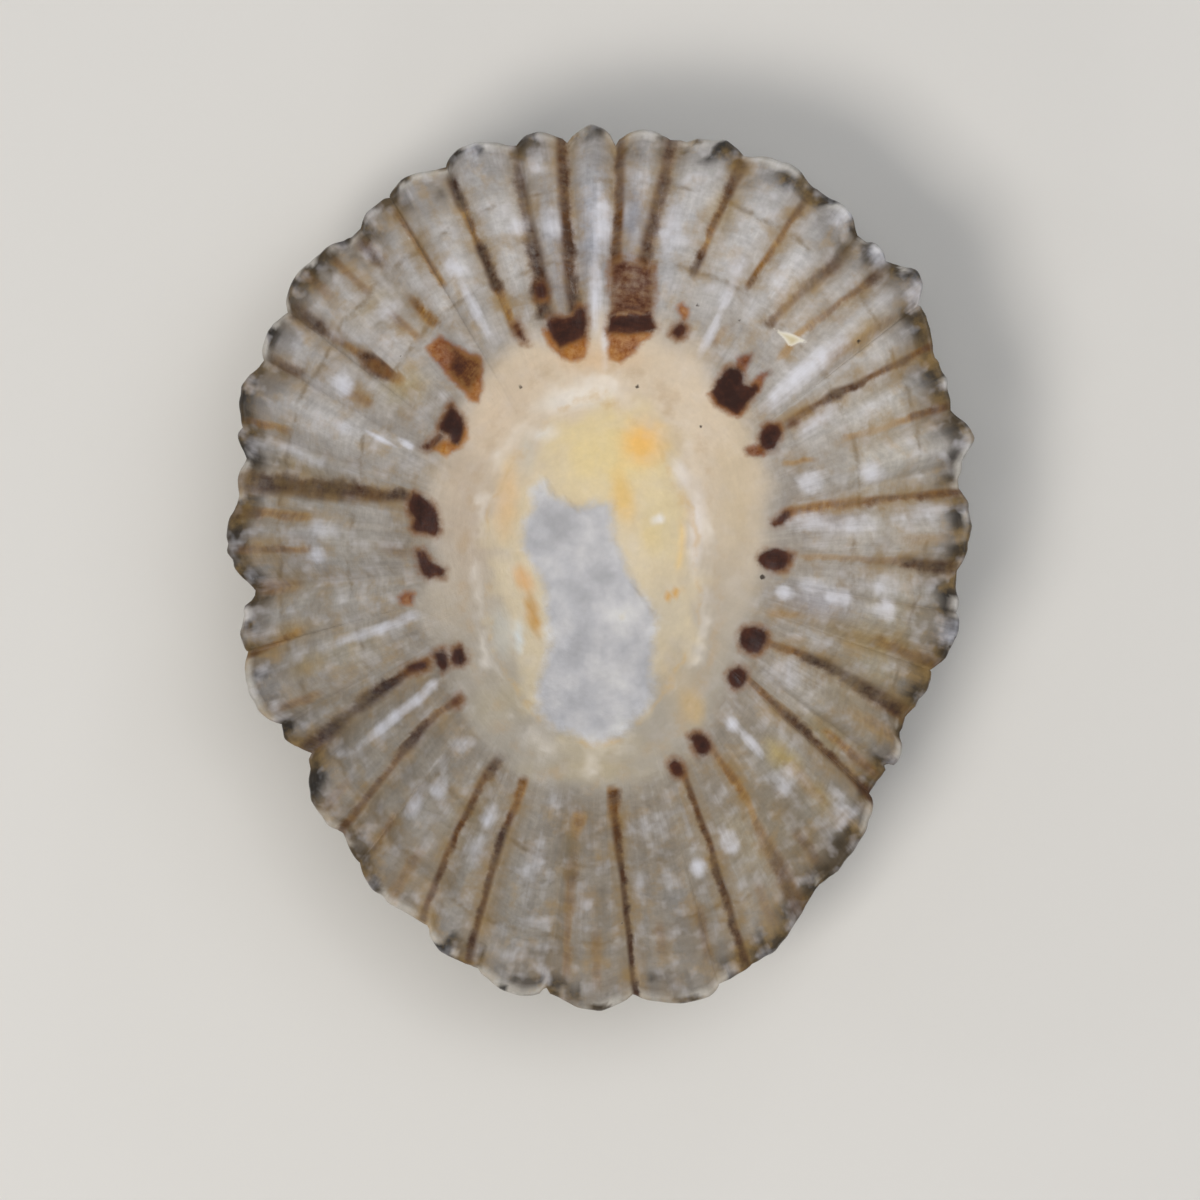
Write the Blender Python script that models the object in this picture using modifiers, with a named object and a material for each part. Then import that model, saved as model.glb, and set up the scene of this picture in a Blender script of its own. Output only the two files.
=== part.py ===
"""A limpet shell lying on its worn apex, with the hollow side up.

The shell grew as one piece, so it is one object. It starts as a plain round bowl, turned from
the profile of the shell's wall, which is thick over the apex and thin at the margin. Each point
of the bowl is then moved out to the egg-shaped margin and onto its rib.

Units are metres, with +Z up. The origin is the centre of the flat worn apex, which every rib
runs out from. +Y points to the broad end of the shell. Angles are clockwise from +Y, seen from
above, looking into the hollow.
"""

import math

import bpy

MM = 0.001

# Margin: its distance from the apex is a mean plus a few smooth waves round the shell
MEAN_REACH = 17.99 * MM
WAVES = (
    # waves in a full turn, height, angle of the first crest in degrees
    (2, 1.71 * MM, 1.8),  # longer than it is wide
    (3, 0.72 * MM, 57.0),  # one broad end and one drawn out
    (4, 0.20 * MM, -5.0),  # sides a little flattened
)

# One row for each rib, clockwise from the broad end: the angle in degrees at which the furrow
# before it meets the margin, how far the margin stands out there from the smooth oval, in mm,
# then the angle of the rib's tip and how far it stands out
RIBS = (
    (2.2, -0.44, 5.8, 0.03),
    (9.7, -0.21, 16.2, 0.33),
    (20.0, 0.09, 25.6, 0.60),
    (30.3, 0.14, 35.2, 0.42),
    (39.1, -0.19, 42.3, 0.15),
    (44.5, -0.08, 49.0, 0.82),
    (52.2, -0.02, 54.2, 0.09),
    (59.9, -0.42, 63.8, -0.22),
    (68.0, -0.39, 72.6, 0.38),
    (76.0, -0.20, 78.0, -0.30),
    (79.9, -0.41, 86.5, 0.35),
    (93.0, -0.17, 98.2, 0.33),
    (99.7, 0.32, 103.5, 0.74),
    (109.7, -0.05, 112.4, 0.18),
    (118.4, -0.42, 124.2, 0.06),
    (126.9, -0.45, 129.3, -0.52),
    (131.9, -0.66, 136.2, 0.10),
    (147.4, -0.39, 156.0, 0.20),
    (159.7, 0.05, 162.0, 0.20),
    (164.6, 0.17, 168.2, 0.49),
    (175.4, -0.38, 180.8, 0.21),
    (187.0, -0.36, 191.8, 0.15),
    (197.5, -0.20, 201.6, 0.06),
    (205.3, -0.38, 214.3, 0.17),
    (217.7, -0.18, 219.6, -0.12),
    (222.4, -0.35, 228.8, 0.20),
    (235.1, -0.66, 239.2, 0.10),
    (241.6, -0.01, 247.2, 0.81),
    (254.2, 0.26, 257.6, 0.38),
    (263.6, -0.61, 270.8, 0.35),
    (277.5, -0.20, 280.8, -0.30),
    (284.8, -0.47, 287.4, -0.02),
    (289.2, -0.11, 294.2, 0.43),
    (299.7, -0.15, 303.2, 0.32),
    (307.5, -0.03, 313.4, 0.60),
    (321.8, -0.20, 327.0, 0.30),
    (329.3, 0.06, 332.4, 0.43),
    (338.2, -0.05, 341.9, 0.45),
    (348.4, -0.21, 351.5, 0.16),
    (355.4, -0.42, 359.2, 0.12),
)
STEPS_PER_RIB = 6

# Profile of the outside, with places as shares of the way from the apex to the margin
FLAT_SHARE = 0.135
MARGIN_HEIGHT = 9.4 * MM
STEEPENING = 1.28
END_DIP = 0.35 * MM  # how much lower the margin lies at the two ends than at the sides

# Wall: thick over the apex, where the shell was added to for longest
MARGIN_WALL = 1.10 * MM
APEX_EXTRA = 1.00 * MM
APEX_EXTRA_FROM, APEX_EXTRA_TO = 0.10, 0.75
LIP_THINNING = 0.70 * MM
LIP_FROM = 0.88

# Rings of points, from the middle of the hollow out over the margin and back to the apex
INSIDE_SHARES = (0.0, 0.12, 0.24, 0.36, 0.48, 0.60, 0.72, 0.83, 0.92, 0.97)
EDGE_SHARE = 0.992
OUTSIDE_SHARES = (1.0, 0.95, 0.88, 0.79, 0.68, 0.56, 0.44, 0.33, 0.23, FLAT_SHARE, 0.0)

# Ribs: they stand out from the wall most at the margin, and die out towards the apex
RIB_RELIEF = 0.58 * MM
RIB_ROUNDNESS = 0.75
USUAL_RIB_WIDTH = 10.0
WIDEST_RIB_SHARE = 1.3  # a rib stands out more the wider it is, up to this
RIBS_START, RIBS_FULL = 0.22, 0.90
# Share of a rib's relief that shows inside, as a shallow channel under the rib
CHANNEL_SHARE = 0.30
CHANNELS_FROM, CHANNELS_FULL = 0.42, 0.90

SHELL_COLOUR = (0.56, 0.50, 0.41, 1.0)
SHELL_ROUGHNESS = 0.45


def smooth(start, end, value):
    """Rises from 0 at start to 1 at end, level at both."""
    share = min(max((value - start) / (end - start), 0.0), 1.0)
    return share * share * (3.0 - 2.0 * share)


def clear_scene():
    for obj in list(bpy.data.objects):
        bpy.data.objects.remove(obj, do_unlink=True)


def rise(share):
    """Height of the outside above the worn apex, before the ribs are added."""
    slope_share = max(share - FLAT_SHARE, 0.0) / (1.0 - FLAT_SHARE)
    return MARGIN_HEIGHT * slope_share**STEEPENING


def wall(share):
    """Height of the inside above the outside."""
    apex_extra = APEX_EXTRA * (1.0 - smooth(APEX_EXTRA_FROM, APEX_EXTRA_TO, share))
    return MARGIN_WALL + apex_extra - LIP_THINNING * smooth(LIP_FROM, 1.0, share)


def oval_reach(angle):
    """Distance from the apex to the smooth oval that the ribs stand out from."""
    waves = (
        height * math.cos(count * (angle - math.radians(crest)))
        for count, height, crest in WAVES
    )
    return MEAN_REACH + sum(waves)


def turned_bowl():
    """A round bowl of the wall's own thickness, with STEPS_PER_RIB steps for each rib."""
    inside = [(share * MEAN_REACH, 0.0, rise(share) + wall(share)) for share in INSIDE_SHARES]
    edge = [(EDGE_SHARE * MEAN_REACH, 0.0, rise(EDGE_SHARE) + wall(EDGE_SHARE))]
    outside = [(share * MEAN_REACH, 0.0, rise(share)) for share in OUTSIDE_SHARES]
    points = inside + edge + outside
    profile = bpy.data.meshes.new("profile")
    profile.from_pydata(points, [(i, i + 1) for i in range(len(points) - 1)], [])
    bowl = bpy.data.objects.new("bowl", profile)
    bpy.context.scene.collection.objects.link(bowl)

    screw = bowl.modifiers.new("turn", "SCREW")
    screw.steps = STEPS_PER_RIB * len(RIBS)
    screw.render_steps = screw.steps
    screw.use_merge_vertices = True
    screw.merge_threshold = 0.01 * MM

    evaluated = bowl.evaluated_get(bpy.context.evaluated_depsgraph_get())
    mesh = bpy.data.meshes.new_from_object(evaluated)
    bpy.data.objects.remove(bowl, do_unlink=True)
    return mesh


class RibPlace:
    """A place across one rib: its angle, the rib's relief there, and how far the margin stands out."""

    def __init__(self, step):
        index, part = divmod(step, STEPS_PER_RIB)
        start, notch, tip_angle, tip = RIBS[index]
        next_start, next_notch, _, _ = RIBS[(index + 1) % len(RIBS)]
        width = (next_start - start) % 360.0
        tip_share = (tip_angle - start) / width
        # The middle step falls on the tip, wherever that is between the two furrows
        across = (part / STEPS_PER_RIB) ** (math.log(tip_share) / math.log(0.5))
        crest = math.sin(math.pi * part / STEPS_PER_RIB)
        relief_share = min(width / USUAL_RIB_WIDTH, WIDEST_RIB_SHARE)
        self.angle = math.radians(start + across * width)
        self.relief = RIB_RELIEF * relief_share * crest**RIB_ROUNDNESS
        between_notches = notch + across * (next_notch - notch)
        rib_rise = tip - notch - tip_share * (next_notch - notch)
        self.stand_out = (between_notches + rib_rise * crest) * MM


def shape_point(point):
    """Moves a point of the round bowl to its place on the shell."""
    steps = STEPS_PER_RIB * len(RIBS)
    turn = math.atan2(point.x, point.y) / math.tau
    place = RibPlace(round(turn * steps) % steps)
    share = math.hypot(point.x, point.y) / MEAN_REACH
    inward = (point.z - rise(share)) / wall(share)  # 0 on the outside, 1 on the inside

    ribbed = smooth(RIBS_START, RIBS_FULL, share)
    channelled = CHANNEL_SHARE * smooth(CHANNELS_FROM, CHANNELS_FULL, share)
    relief = place.relief * ribbed * (1.0 - inward * (1.0 - channelled))
    reach = oval_reach(place.angle) + place.stand_out * ribbed
    dip = END_DIP * math.cos(place.angle) ** 2 * share**4

    point.x = reach * share * math.sin(place.angle)
    point.y = reach * share * math.cos(place.angle)
    point.z -= dip + relief


def shell_material():
    material = bpy.data.materials.new("shell")
    material.use_nodes = True
    surface = material.node_tree.nodes["Principled BSDF"]
    surface.inputs["Base Color"].default_value = SHELL_COLOUR
    surface.inputs["Roughness"].default_value = SHELL_ROUGHNESS
    surface.inputs["Metallic"].default_value = 0.0
    return material


def main():
    clear_scene()
    collection = bpy.data.collections.new("limpet_shell")
    bpy.context.scene.collection.children.link(collection)

    mesh = turned_bowl()
    for vertex in mesh.vertices:
        shape_point(vertex.co)
    mesh.shade_smooth()
    mesh.materials.append(shell_material())
    collection.objects.link(bpy.data.objects.new("shell", mesh))


main()
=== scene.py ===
"""An empty limpet shell lying hollow side up, seen straight down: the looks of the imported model.

One closed mesh stands for the shell. It has the main form of the model, from the same named
values, with what the model leaves out: growth ledges, riblets, the rough worn apex, the marks
inside and the patch of callus over the old apex. Lengths are in millimetres until the mesh is
made. Angles are in degrees, clockwise from the broad end, seen from above.
"""

import logging
import math
from dataclasses import dataclass
from enum import Enum
from typing import Any

import bpy
import numpy as np
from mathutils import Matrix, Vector


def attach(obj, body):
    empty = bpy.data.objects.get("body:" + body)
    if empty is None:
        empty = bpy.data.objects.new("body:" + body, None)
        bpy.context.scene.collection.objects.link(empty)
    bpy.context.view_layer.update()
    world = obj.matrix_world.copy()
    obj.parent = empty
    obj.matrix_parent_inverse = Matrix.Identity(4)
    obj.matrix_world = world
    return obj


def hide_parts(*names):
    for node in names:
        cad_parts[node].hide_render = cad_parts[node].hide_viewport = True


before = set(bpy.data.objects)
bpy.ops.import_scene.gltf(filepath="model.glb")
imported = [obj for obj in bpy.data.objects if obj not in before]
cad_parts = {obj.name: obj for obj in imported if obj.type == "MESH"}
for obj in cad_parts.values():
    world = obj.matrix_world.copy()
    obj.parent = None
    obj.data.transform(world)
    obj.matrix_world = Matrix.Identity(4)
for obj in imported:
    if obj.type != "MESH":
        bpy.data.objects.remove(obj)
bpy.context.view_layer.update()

LOG = logging.getLogger("limpet_shell")
MM = 0.001
RIM_CIRCLE = 18.0  # mm, a circle on which patterns round the shell keep their true size


def smooth(start: float, end: float, value: np.ndarray) -> np.ndarray:
    """Rises from 0 at start to 1 at end, level at both.

    Args:
        start: the value that gives 0.
        end: the value that gives 1.
        value: the values to look up.

    Returns:
        The eased shares, from 0 to 1.
    """
    share = np.clip((value - start) / (end - start), 0.0, 1.0)
    return share * share * (3.0 - 2.0 * share)


def linear(colour: str) -> tuple[float, float, float, float]:
    """Turns an sRGB hex colour into the linear one that the shaders take.

    Args:
        colour: six hex digits after a hash sign.

    Returns:
        Red, green, blue and an alpha of 1.
    """
    parts = [int(colour[i : i + 2], 16) / 255 for i in (1, 3, 5)]
    red, green, blue = (p / 12.92 if p <= 0.04045 else ((p + 0.055) / 1.055) ** 2.4 for p in parts)
    return red, green, blue, 1.0


@dataclass(frozen=True)
class Lumps:
    """Smooth random heights in space, the same on every run."""

    seed: int

    def at(self, places: np.ndarray, grain: float) -> np.ndarray:
        """Heights between -1 and 1, with lumps of one size.

        Args:
            places: points in mm, one row each.
            grain: distance between lumps in mm.

        Returns:
            One height for each point.
        """
        scaled = places / grain
        cell = np.floor(scaled).astype(np.int64)
        within = scaled - cell
        within = within * within * (3.0 - 2.0 * within)
        total = np.zeros(len(places))
        for corner in range(8):
            step = np.array([corner & 1, corner >> 1 & 1, corner >> 2 & 1])
            # Large odd numbers scatter the heights of neighbouring corners
            key = (cell + step) @ np.array([73856093, 19349663, 83492791]) + self.seed * 9176
            key = (key ^ (key >> 13)) * 1274126177
            key = (key ^ (key >> 16)) & 0xFFFF
            weight = np.prod(np.where(step == 1, within, 1.0 - within), axis=1)
            total += weight * (key / 32767.5 - 1.0)
        return total


@dataclass(frozen=True)
class Rib:
    """One rib of the shell, clockwise from the furrow before it."""

    furrow: float  # angle at which that furrow meets the margin
    notch: float  # how far the margin stands out from the smooth oval in the furrow
    tip_angle: float
    tip: float  # how far the margin stands out at the tip of the rib


RIBS = tuple(
    Rib(*row)
    for row in (
        (2.2, -0.44, 5.8, 0.03), (9.7, -0.21, 16.2, 0.33), (20.0, 0.09, 25.6, 0.60),
        (30.3, 0.14, 35.2, 0.42), (39.1, -0.19, 42.3, 0.15), (44.5, -0.08, 49.0, 0.82),
        (52.2, -0.02, 54.2, 0.09), (59.9, -0.42, 63.8, -0.22), (68.0, -0.39, 72.6, 0.38),
        (76.0, -0.20, 78.0, -0.30), (79.9, -0.41, 86.5, 0.35), (93.0, -0.17, 98.2, 0.33),
        (99.7, 0.32, 103.5, 0.74), (109.7, -0.05, 112.4, 0.18), (118.4, -0.42, 124.2, 0.06),
        (126.9, -0.45, 129.3, -0.52), (131.9, -0.66, 136.2, 0.10), (147.4, -0.39, 156.0, 0.20),
        (159.7, 0.05, 162.0, 0.20), (164.6, 0.17, 168.2, 0.49), (175.4, -0.38, 180.8, 0.21),
        (187.0, -0.36, 191.8, 0.15), (197.5, -0.20, 201.6, 0.06), (205.3, -0.38, 214.3, 0.17),
        (217.7, -0.18, 219.6, -0.12), (222.4, -0.35, 228.8, 0.20), (235.1, -0.66, 239.2, 0.10),
        (241.6, -0.01, 247.2, 0.81), (254.2, 0.26, 257.6, 0.38), (263.6, -0.61, 270.8, 0.35),
        (277.5, -0.20, 280.8, -0.30), (284.8, -0.47, 287.4, -0.02), (289.2, -0.11, 294.2, 0.43),
        (299.7, -0.15, 303.2, 0.32), (307.5, -0.03, 313.4, 0.60), (321.8, -0.20, 327.0, 0.30),
        (329.3, 0.06, 332.4, 0.43), (338.2, -0.05, 341.9, 0.45), (348.4, -0.21, 351.5, 0.16),
        (355.4, -0.42, 359.2, 0.12),
    )
)


@dataclass(frozen=True)
class Columns:
    """The places round the shell at which its mesh has points."""

    angle: np.ndarray
    crest: np.ndarray  # 0 in a furrow and 1 on top of a rib
    relief: np.ndarray
    stand_out: np.ndarray

    def halved(self) -> "Columns":
        """Every other column, which keeps those in the furrows."""
        return Columns(self.angle[::2], self.crest[::2], self.relief[::2], self.stand_out[::2])

    def first(self) -> "Columns":
        """The first column alone, for the two points that close the mesh in the middle."""
        return Columns(self.angle[:1], self.crest[:1], self.relief[:1], self.stand_out[:1])


@dataclass(frozen=True)
class ShellForm:
    """The main form of the shell, as the model has it."""

    mean_reach: float = 17.99
    # waves in a full turn, height, angle of the first crest
    waves: tuple = ((2, 1.71, 1.8), (3, 0.72, 57.0), (4, 0.20, -5.0))
    flat_share: float = 0.135
    margin_height: float = 9.4
    steepening: float = 1.28
    end_dip: float = 0.35
    margin_wall: float = 1.10
    apex_extra: float = 1.00
    apex_extra_span: tuple = (0.10, 0.75)  # shares of the way out
    lip_thinning: float = 0.70
    lip_from: float = 0.88
    rib_relief: float = 0.58
    rib_roundness: float = 0.75
    usual_rib_width: float = 10.0
    widest_rib_share: float = 1.3
    ribs_span: tuple = (0.22, 0.90)
    channel_share: float = 0.30
    channels_span: tuple = (0.42, 0.90)
    column_gap: float = 0.5  # degrees

    def rise(self, share: np.ndarray) -> np.ndarray:
        """Height of the outside above the worn apex, before the ribs are added."""
        slope_share = np.maximum(share - self.flat_share, 0.0) / (1.0 - self.flat_share)
        return self.margin_height * slope_share**self.steepening

    def wall(self, share: np.ndarray) -> np.ndarray:
        """Height of the inside above the outside."""
        extra = self.apex_extra * (1.0 - smooth(*self.apex_extra_span, share))
        return self.margin_wall + extra - self.lip_thinning * smooth(self.lip_from, 1.0, share)

    def oval_reach(self, angle: np.ndarray) -> np.ndarray:
        """Measures the smooth oval that the ribs stand out from.

        Args:
            angle: angles in degrees.

        Returns:
            Its distance from the apex at each angle.
        """
        turn = np.radians(angle)
        swing = (h * np.cos(n * (turn - math.radians(crest))) for n, h, crest in self.waves)
        return self.mean_reach + sum(swing)

    def columns(self) -> Columns:
        """Spreads points round the shell, an even number on each rib, with one on its tip.

        Returns:
            The angle of each column and its place on its rib.
        """
        parts = []
        for index, rib in enumerate(RIBS):
            following = RIBS[(index + 1) % len(RIBS)]
            width = (following.furrow - rib.furrow) % 360.0
            phase = np.linspace(0.0, 1.0, 2 * round(width / self.column_gap / 2), endpoint=False)
            tip_share = (rib.tip_angle - rib.furrow) / width
            across = phase ** (math.log(tip_share) / math.log(0.5))
            crest = np.sin(np.pi * phase)
            relief_share = min(width / self.usual_rib_width, self.widest_rib_share)
            relief = self.rib_relief * relief_share * crest**self.rib_roundness
            between = rib.notch + across * (following.notch - rib.notch)
            rib_rise = rib.tip - rib.notch - tip_share * (following.notch - rib.notch)
            parts.append((rib.furrow + across * width, crest, relief, between + rib_rise * crest))
        return Columns(*(np.concatenate(column) for column in zip(*parts)))

    def points(self, share: np.ndarray, inward: np.ndarray, columns: Columns) -> np.ndarray:
        """Places one ring of points on the shell.

        Args:
            share: how far out each point is, 1 at the margin.
            inward: 0 on the outside and 1 on the inside.
            columns: where round the shell the points are.

        Returns:
            The points in mm, one row each.
        """
        ribbed = smooth(*self.ribs_span, share)
        channelled = self.channel_share * smooth(*self.channels_span, share)
        relief = columns.relief * ribbed * (1.0 - inward * (1.0 - channelled))
        turn = np.radians(columns.angle)
        reach = self.oval_reach(columns.angle) + columns.stand_out * ribbed
        dip = self.end_dip * np.cos(turn) ** 2 * share**4
        height = self.rise(share) + inward * self.wall(share) - dip - relief
        return np.stack(
            (reach * share * np.sin(turn), reach * share * np.cos(turn), height), axis=1
        )


class Side(Enum):
    """The two sides of the shell's wall, and the order of their materials."""

    INSIDE = 0
    OUTSIDE = 1


# Rays of pigment that show through the inside, clockwise. Each row of a ray is its distance
# from the apex, its angle, its width, how strong it is, and its tone: 0 is orange, 0.5 brown
# and 1 purplish black.
RAYS = (
    ((13.4, 3.2, 0.50, 0.90, 0.60), (15.0, 3.1, 0.45, 0.85, 0.55), (18.9, 2.9, 0.45, 0.70, 0.70)),
    ((13.4, 8.6, 0.70, 0.90, 0.75), (15.5, 9.2, 0.60, 0.85, 0.70), (17.5, 9.8, 0.55, 0.75, 0.70),
     (18.8, 10.1, 0.75, 0.75, 0.85)),
    ((13.2, 18.6, 0.25, 0.00, 0.70), (13.4, 18.6, 0.30, 0.70, 0.70), (14.2, 18.8, 0.38, 0.90, 0.80),
     (14.9, 19.0, 0.20, 0.75, 0.15), (16.0, 19.2, 0.35, 0.75, 0.40), (17.0, 19.6, 0.40, 0.80, 0.60),
     (18.7, 20.1, 0.55, 0.70, 0.75)),
    ((10.7, 28.8, 0.30, 0.00, 0.10), (11.1, 28.8, 0.30, 0.40, 0.05), (11.7, 29.0, 0.25, 0.30, 0.10),
     (12.0, 29.0, 0.25, 0.00, 0.10), (13.6, 29.0, 0.20, 0.00, 0.40), (14.0, 29.1, 0.30, 0.85, 0.50),
     (14.6, 29.2, 0.28, 0.85, 0.40), (15.5, 29.5, 0.22, 0.75, 0.10), (16.6, 29.9, 0.24, 0.75, 0.30),
     (17.8, 30.3, 0.34, 0.85, 0.65), (18.5, 30.5, 0.30, 0.20, 0.70)),
    ((12.7, 36.3, 0.30, 0.00, 0.80), (13.0, 36.5, 0.50, 0.85, 0.80), (13.4, 36.6, 0.30, 0.60, 0.40),
     (14.2, 37.2, 0.26, 0.50, 0.40), (15.6, 38.2, 0.50, 0.50, 0.60), (16.7, 39.2, 0.60, 0.70, 0.75),
     (17.3, 39.3, 0.40, 0.35, 0.80), (18.0, 39.3, 0.30, 0.10, 0.80)),
    ((11.9, 42.8, 0.20, 0.00, 0.10), (12.3, 42.8, 0.36, 0.65, 0.05), (13.4, 42.5, 0.36, 0.65, 0.05),
     (14.5, 43.0, 0.28, 0.50, 0.20), (15.6, 43.8, 0.25, 0.60, 0.30), (16.8, 44.7, 0.30, 0.65, 0.50),
     (17.6, 45.0, 0.42, 0.85, 0.85), (18.1, 45.1, 0.30, 0.15, 0.80)),
    ((13.2, 50.0, 0.30, 0.00, 0.10), (13.9, 50.1, 0.45, 0.40, 0.15), (15.5, 50.9, 0.42, 0.38, 0.15),
     (16.8, 51.3, 0.35, 0.25, 0.20), (17.4, 51.5, 0.30, 0.00, 0.20)),
    ((10.0, 55.2, 0.35, 0.50, 0.50), (11.3, 55.5, 0.36, 0.90, 0.55), (12.2, 55.9, 0.30, 0.85, 0.60),
     (13.0, 56.2, 0.48, 0.95, 0.85), (14.0, 56.8, 0.30, 0.85, 0.50), (15.8, 57.5, 0.26, 0.80, 0.45),
     (17.2, 58.0, 0.30, 0.85, 0.60), (18.2, 58.4, 0.38, 0.60, 0.80)),
    ((9.2, 63.8, 0.20, 0.00, 0.10), (9.5, 64.0, 0.26, 0.60, 0.10), (9.9, 65.2, 0.24, 0.60, 0.10),
     (10.4, 65.6, 0.26, 0.60, 0.15), (10.9, 67.0, 0.20, 0.00, 0.10), (12.1, 65.0, 0.20, 0.00, 0.10),
     (12.5, 65.1, 0.34, 0.55, 0.10), (13.2, 65.7, 0.28, 0.40, 0.05), (14.8, 66.2, 0.32, 0.55, 0.10),
     (15.6, 66.6, 0.34, 0.70, 0.45), (16.9, 67.2, 0.36, 0.75, 0.65), (17.3, 67.3, 0.24, 0.20, 0.60)),
    ((8.8, 78.0, 0.35, 0.70, 0.20), (10.0, 78.2, 0.50, 0.85, 0.35), (11.3, 78.6, 0.45, 0.80, 0.30),
     (12.5, 79.1, 0.34, 0.80, 0.40), (13.6, 79.5, 0.30, 0.80, 0.45), (15.0, 80.0, 0.32, 0.80, 0.40),
     (16.2, 80.5, 0.34, 0.80, 0.60), (17.4, 80.6, 0.24, 0.30, 0.60)),
    ((13.2, 87.5, 0.30, 0.00, 0.10), (14.3, 87.5, 0.50, 0.30, 0.10), (15.5, 87.4, 0.40, 0.20, 0.15),
     (16.0, 87.4, 0.40, 0.00, 0.15)),
    ((8.9, 91.2, 0.25, 0.00, 0.10), (9.5, 91.3, 0.25, 0.45, 0.10), (11.5, 91.4, 0.22, 0.35, 0.10),
     (13.3, 91.7, 0.26, 0.50, 0.40), (14.0, 92.2, 0.55, 0.80, 0.90), (15.8, 92.5, 0.55, 0.80, 0.90),
     (16.4, 92.7, 0.30, 0.20, 0.90)),
    ((8.1, 109.3, 0.20, 0.00, 0.10), (8.4, 109.2, 0.26, 0.50, 0.10), (9.4, 107.6, 0.24, 0.40, 0.10),
     (9.8, 107.4, 0.20, 0.00, 0.10), (12.8, 107.4, 0.30, 0.00, 0.30), (13.4, 107.6, 0.50, 0.42, 0.30),
     (14.5, 108.0, 0.50, 0.52, 0.50), (15.9, 108.6, 0.40, 0.50, 0.50), (16.4, 108.8, 0.40, 0.00, 0.50)),
    ((8.7, 118.6, 0.30, 0.60, 0.50), (9.6, 117.6, 0.36, 0.80, 0.50), (10.7, 116.8, 0.45, 0.85, 0.80),
     (11.4, 116.4, 0.60, 0.90, 0.95), (12.0, 116.6, 0.50, 0.70, 0.90), (12.7, 117.0, 0.50, 0.50, 0.80),
     (13.4, 117.4, 0.70, 0.80, 0.95), (14.5, 117.7, 0.75, 0.85, 0.95), (15.8, 118.0, 0.70, 0.80, 0.90),
     (16.6, 118.3, 0.40, 0.30, 0.90)),
    ((13.3, 122.2, 0.30, 0.00, 0.10), (14.2, 122.2, 0.50, 0.28, 0.10), (15.6, 122.2, 0.40, 0.25, 0.20),
     (16.1, 122.2, 0.40, 0.00, 0.20)),
    ((12.8, 128.4, 0.20, 0.00, 0.20), (13.2, 128.4, 0.35, 0.55, 0.20), (14.5, 128.5, 0.35, 0.60, 0.30),
     (15.8, 128.8, 0.30, 0.50, 0.40), (16.4, 129.0, 0.30, 0.00, 0.40)),
    ((9.0, 130.4, 0.30, 0.50, 0.40), (9.8, 130.5, 0.30, 0.75, 0.50), (11.0, 130.8, 0.36, 0.85, 0.70),
     (11.8, 131.0, 0.42, 0.90, 0.85), (13.5, 131.5, 0.30, 0.80, 0.60), (15.0, 131.8, 0.30, 0.75, 0.60),
     (16.6, 132.0, 0.48, 0.85, 0.90), (17.3, 132.0, 0.50, 0.85, 0.95)),
    ((12.5, 138.2, 0.30, 0.00, 0.10), (13.2, 138.2, 0.50, 0.28, 0.10), (15.0, 138.2, 0.40, 0.25, 0.20),
     (15.8, 138.2, 0.30, 0.00, 0.20)),
    ((15.2, 145.0, 0.30, 0.00, 0.40), (15.7, 145.0, 0.40, 0.38, 0.50), (17.0, 145.0, 0.40, 0.38, 0.60),
     (17.4, 145.0, 0.40, 0.00, 0.60)),
    ((10.3, 150.4, 0.30, 0.40, 0.40), (11.2, 149.8, 0.30, 0.80, 0.30), (12.0, 149.4, 0.36, 0.85, 0.20),
     (13.1, 149.3, 0.34, 0.75, 0.20), (14.0, 150.0, 0.30, 0.50, 0.15), (15.3, 150.2, 0.60, 0.50, 0.50),
     (17.0, 150.5, 0.80, 0.62, 0.75), (18.4, 150.8, 0.80, 0.45, 0.80)),
    ((16.4, 154.4, 0.30, 0.00, 0.40), (17.0, 154.5, 0.40, 0.32, 0.50), (18.2, 154.7, 0.40, 0.32, 0.50),
     (18.8, 154.8, 0.40, 0.00, 0.50)),
    ((10.8, 159.2, 0.26, 0.70, 0.50), (11.8, 159.3, 0.26, 0.85, 0.50), (13.6, 159.4, 0.30, 0.90, 0.65),
     (15.5, 159.8, 0.30, 0.90, 0.70), (18.0, 160.3, 0.32, 0.90, 0.75), (20.0, 160.6, 0.42, 0.85, 0.90)),
    ((16.4, 164.6, 0.30, 0.00, 0.40), (17.0, 164.7, 0.40, 0.38, 0.40), (18.8, 164.9, 0.40, 0.32, 0.50),
     (19.3, 165.0, 0.40, 0.00, 0.50)),
    ((16.8, 171.0, 0.30, 0.00, 0.30), (17.3, 171.0, 0.40, 0.32, 0.30), (18.2, 171.1, 0.40, 0.32, 0.40),
     (18.8, 171.2, 0.40, 0.00, 0.40)),
    ((10.7, 176.9, 0.50, 0.00, 0.30), (10.9, 176.9, 0.55, 0.92, 0.50), (12.2, 176.6, 0.50, 0.95, 0.60),
     (13.4, 176.3, 0.40, 0.95, 0.75), (14.4, 176.0, 0.30, 0.85, 0.75), (16.5, 175.7, 0.24, 0.85, 0.80),
     (18.8, 175.5, 0.24, 0.88, 0.80), (20.6, 175.3, 0.34, 0.85, 0.90)),
    ((16.9, 180.6, 0.30, 0.00, 0.30), (17.6, 180.6, 0.35, 0.32, 0.30), (19.3, 180.4, 0.35, 0.32, 0.30),
     (20.0, 180.4, 0.35, 0.00, 0.30)),
    ((11.8, 184.8, 0.50, 0.00, 0.05), (12.1, 184.8, 0.60, 0.68, 0.05), (12.7, 184.9, 0.50, 0.62, 0.10),
     (13.3, 185.0, 0.30, 0.10, 0.20), (14.4, 185.0, 0.50, 0.32, 0.40), (14.8, 185.0, 0.60, 0.60, 0.80),
     (15.2, 185.0, 0.40, 0.42, 0.30), (17.0, 184.8, 0.36, 0.45, 0.20), (19.0, 184.6, 0.36, 0.45, 0.30),
     (19.6, 184.6, 0.36, 0.00, 0.30)),
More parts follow.
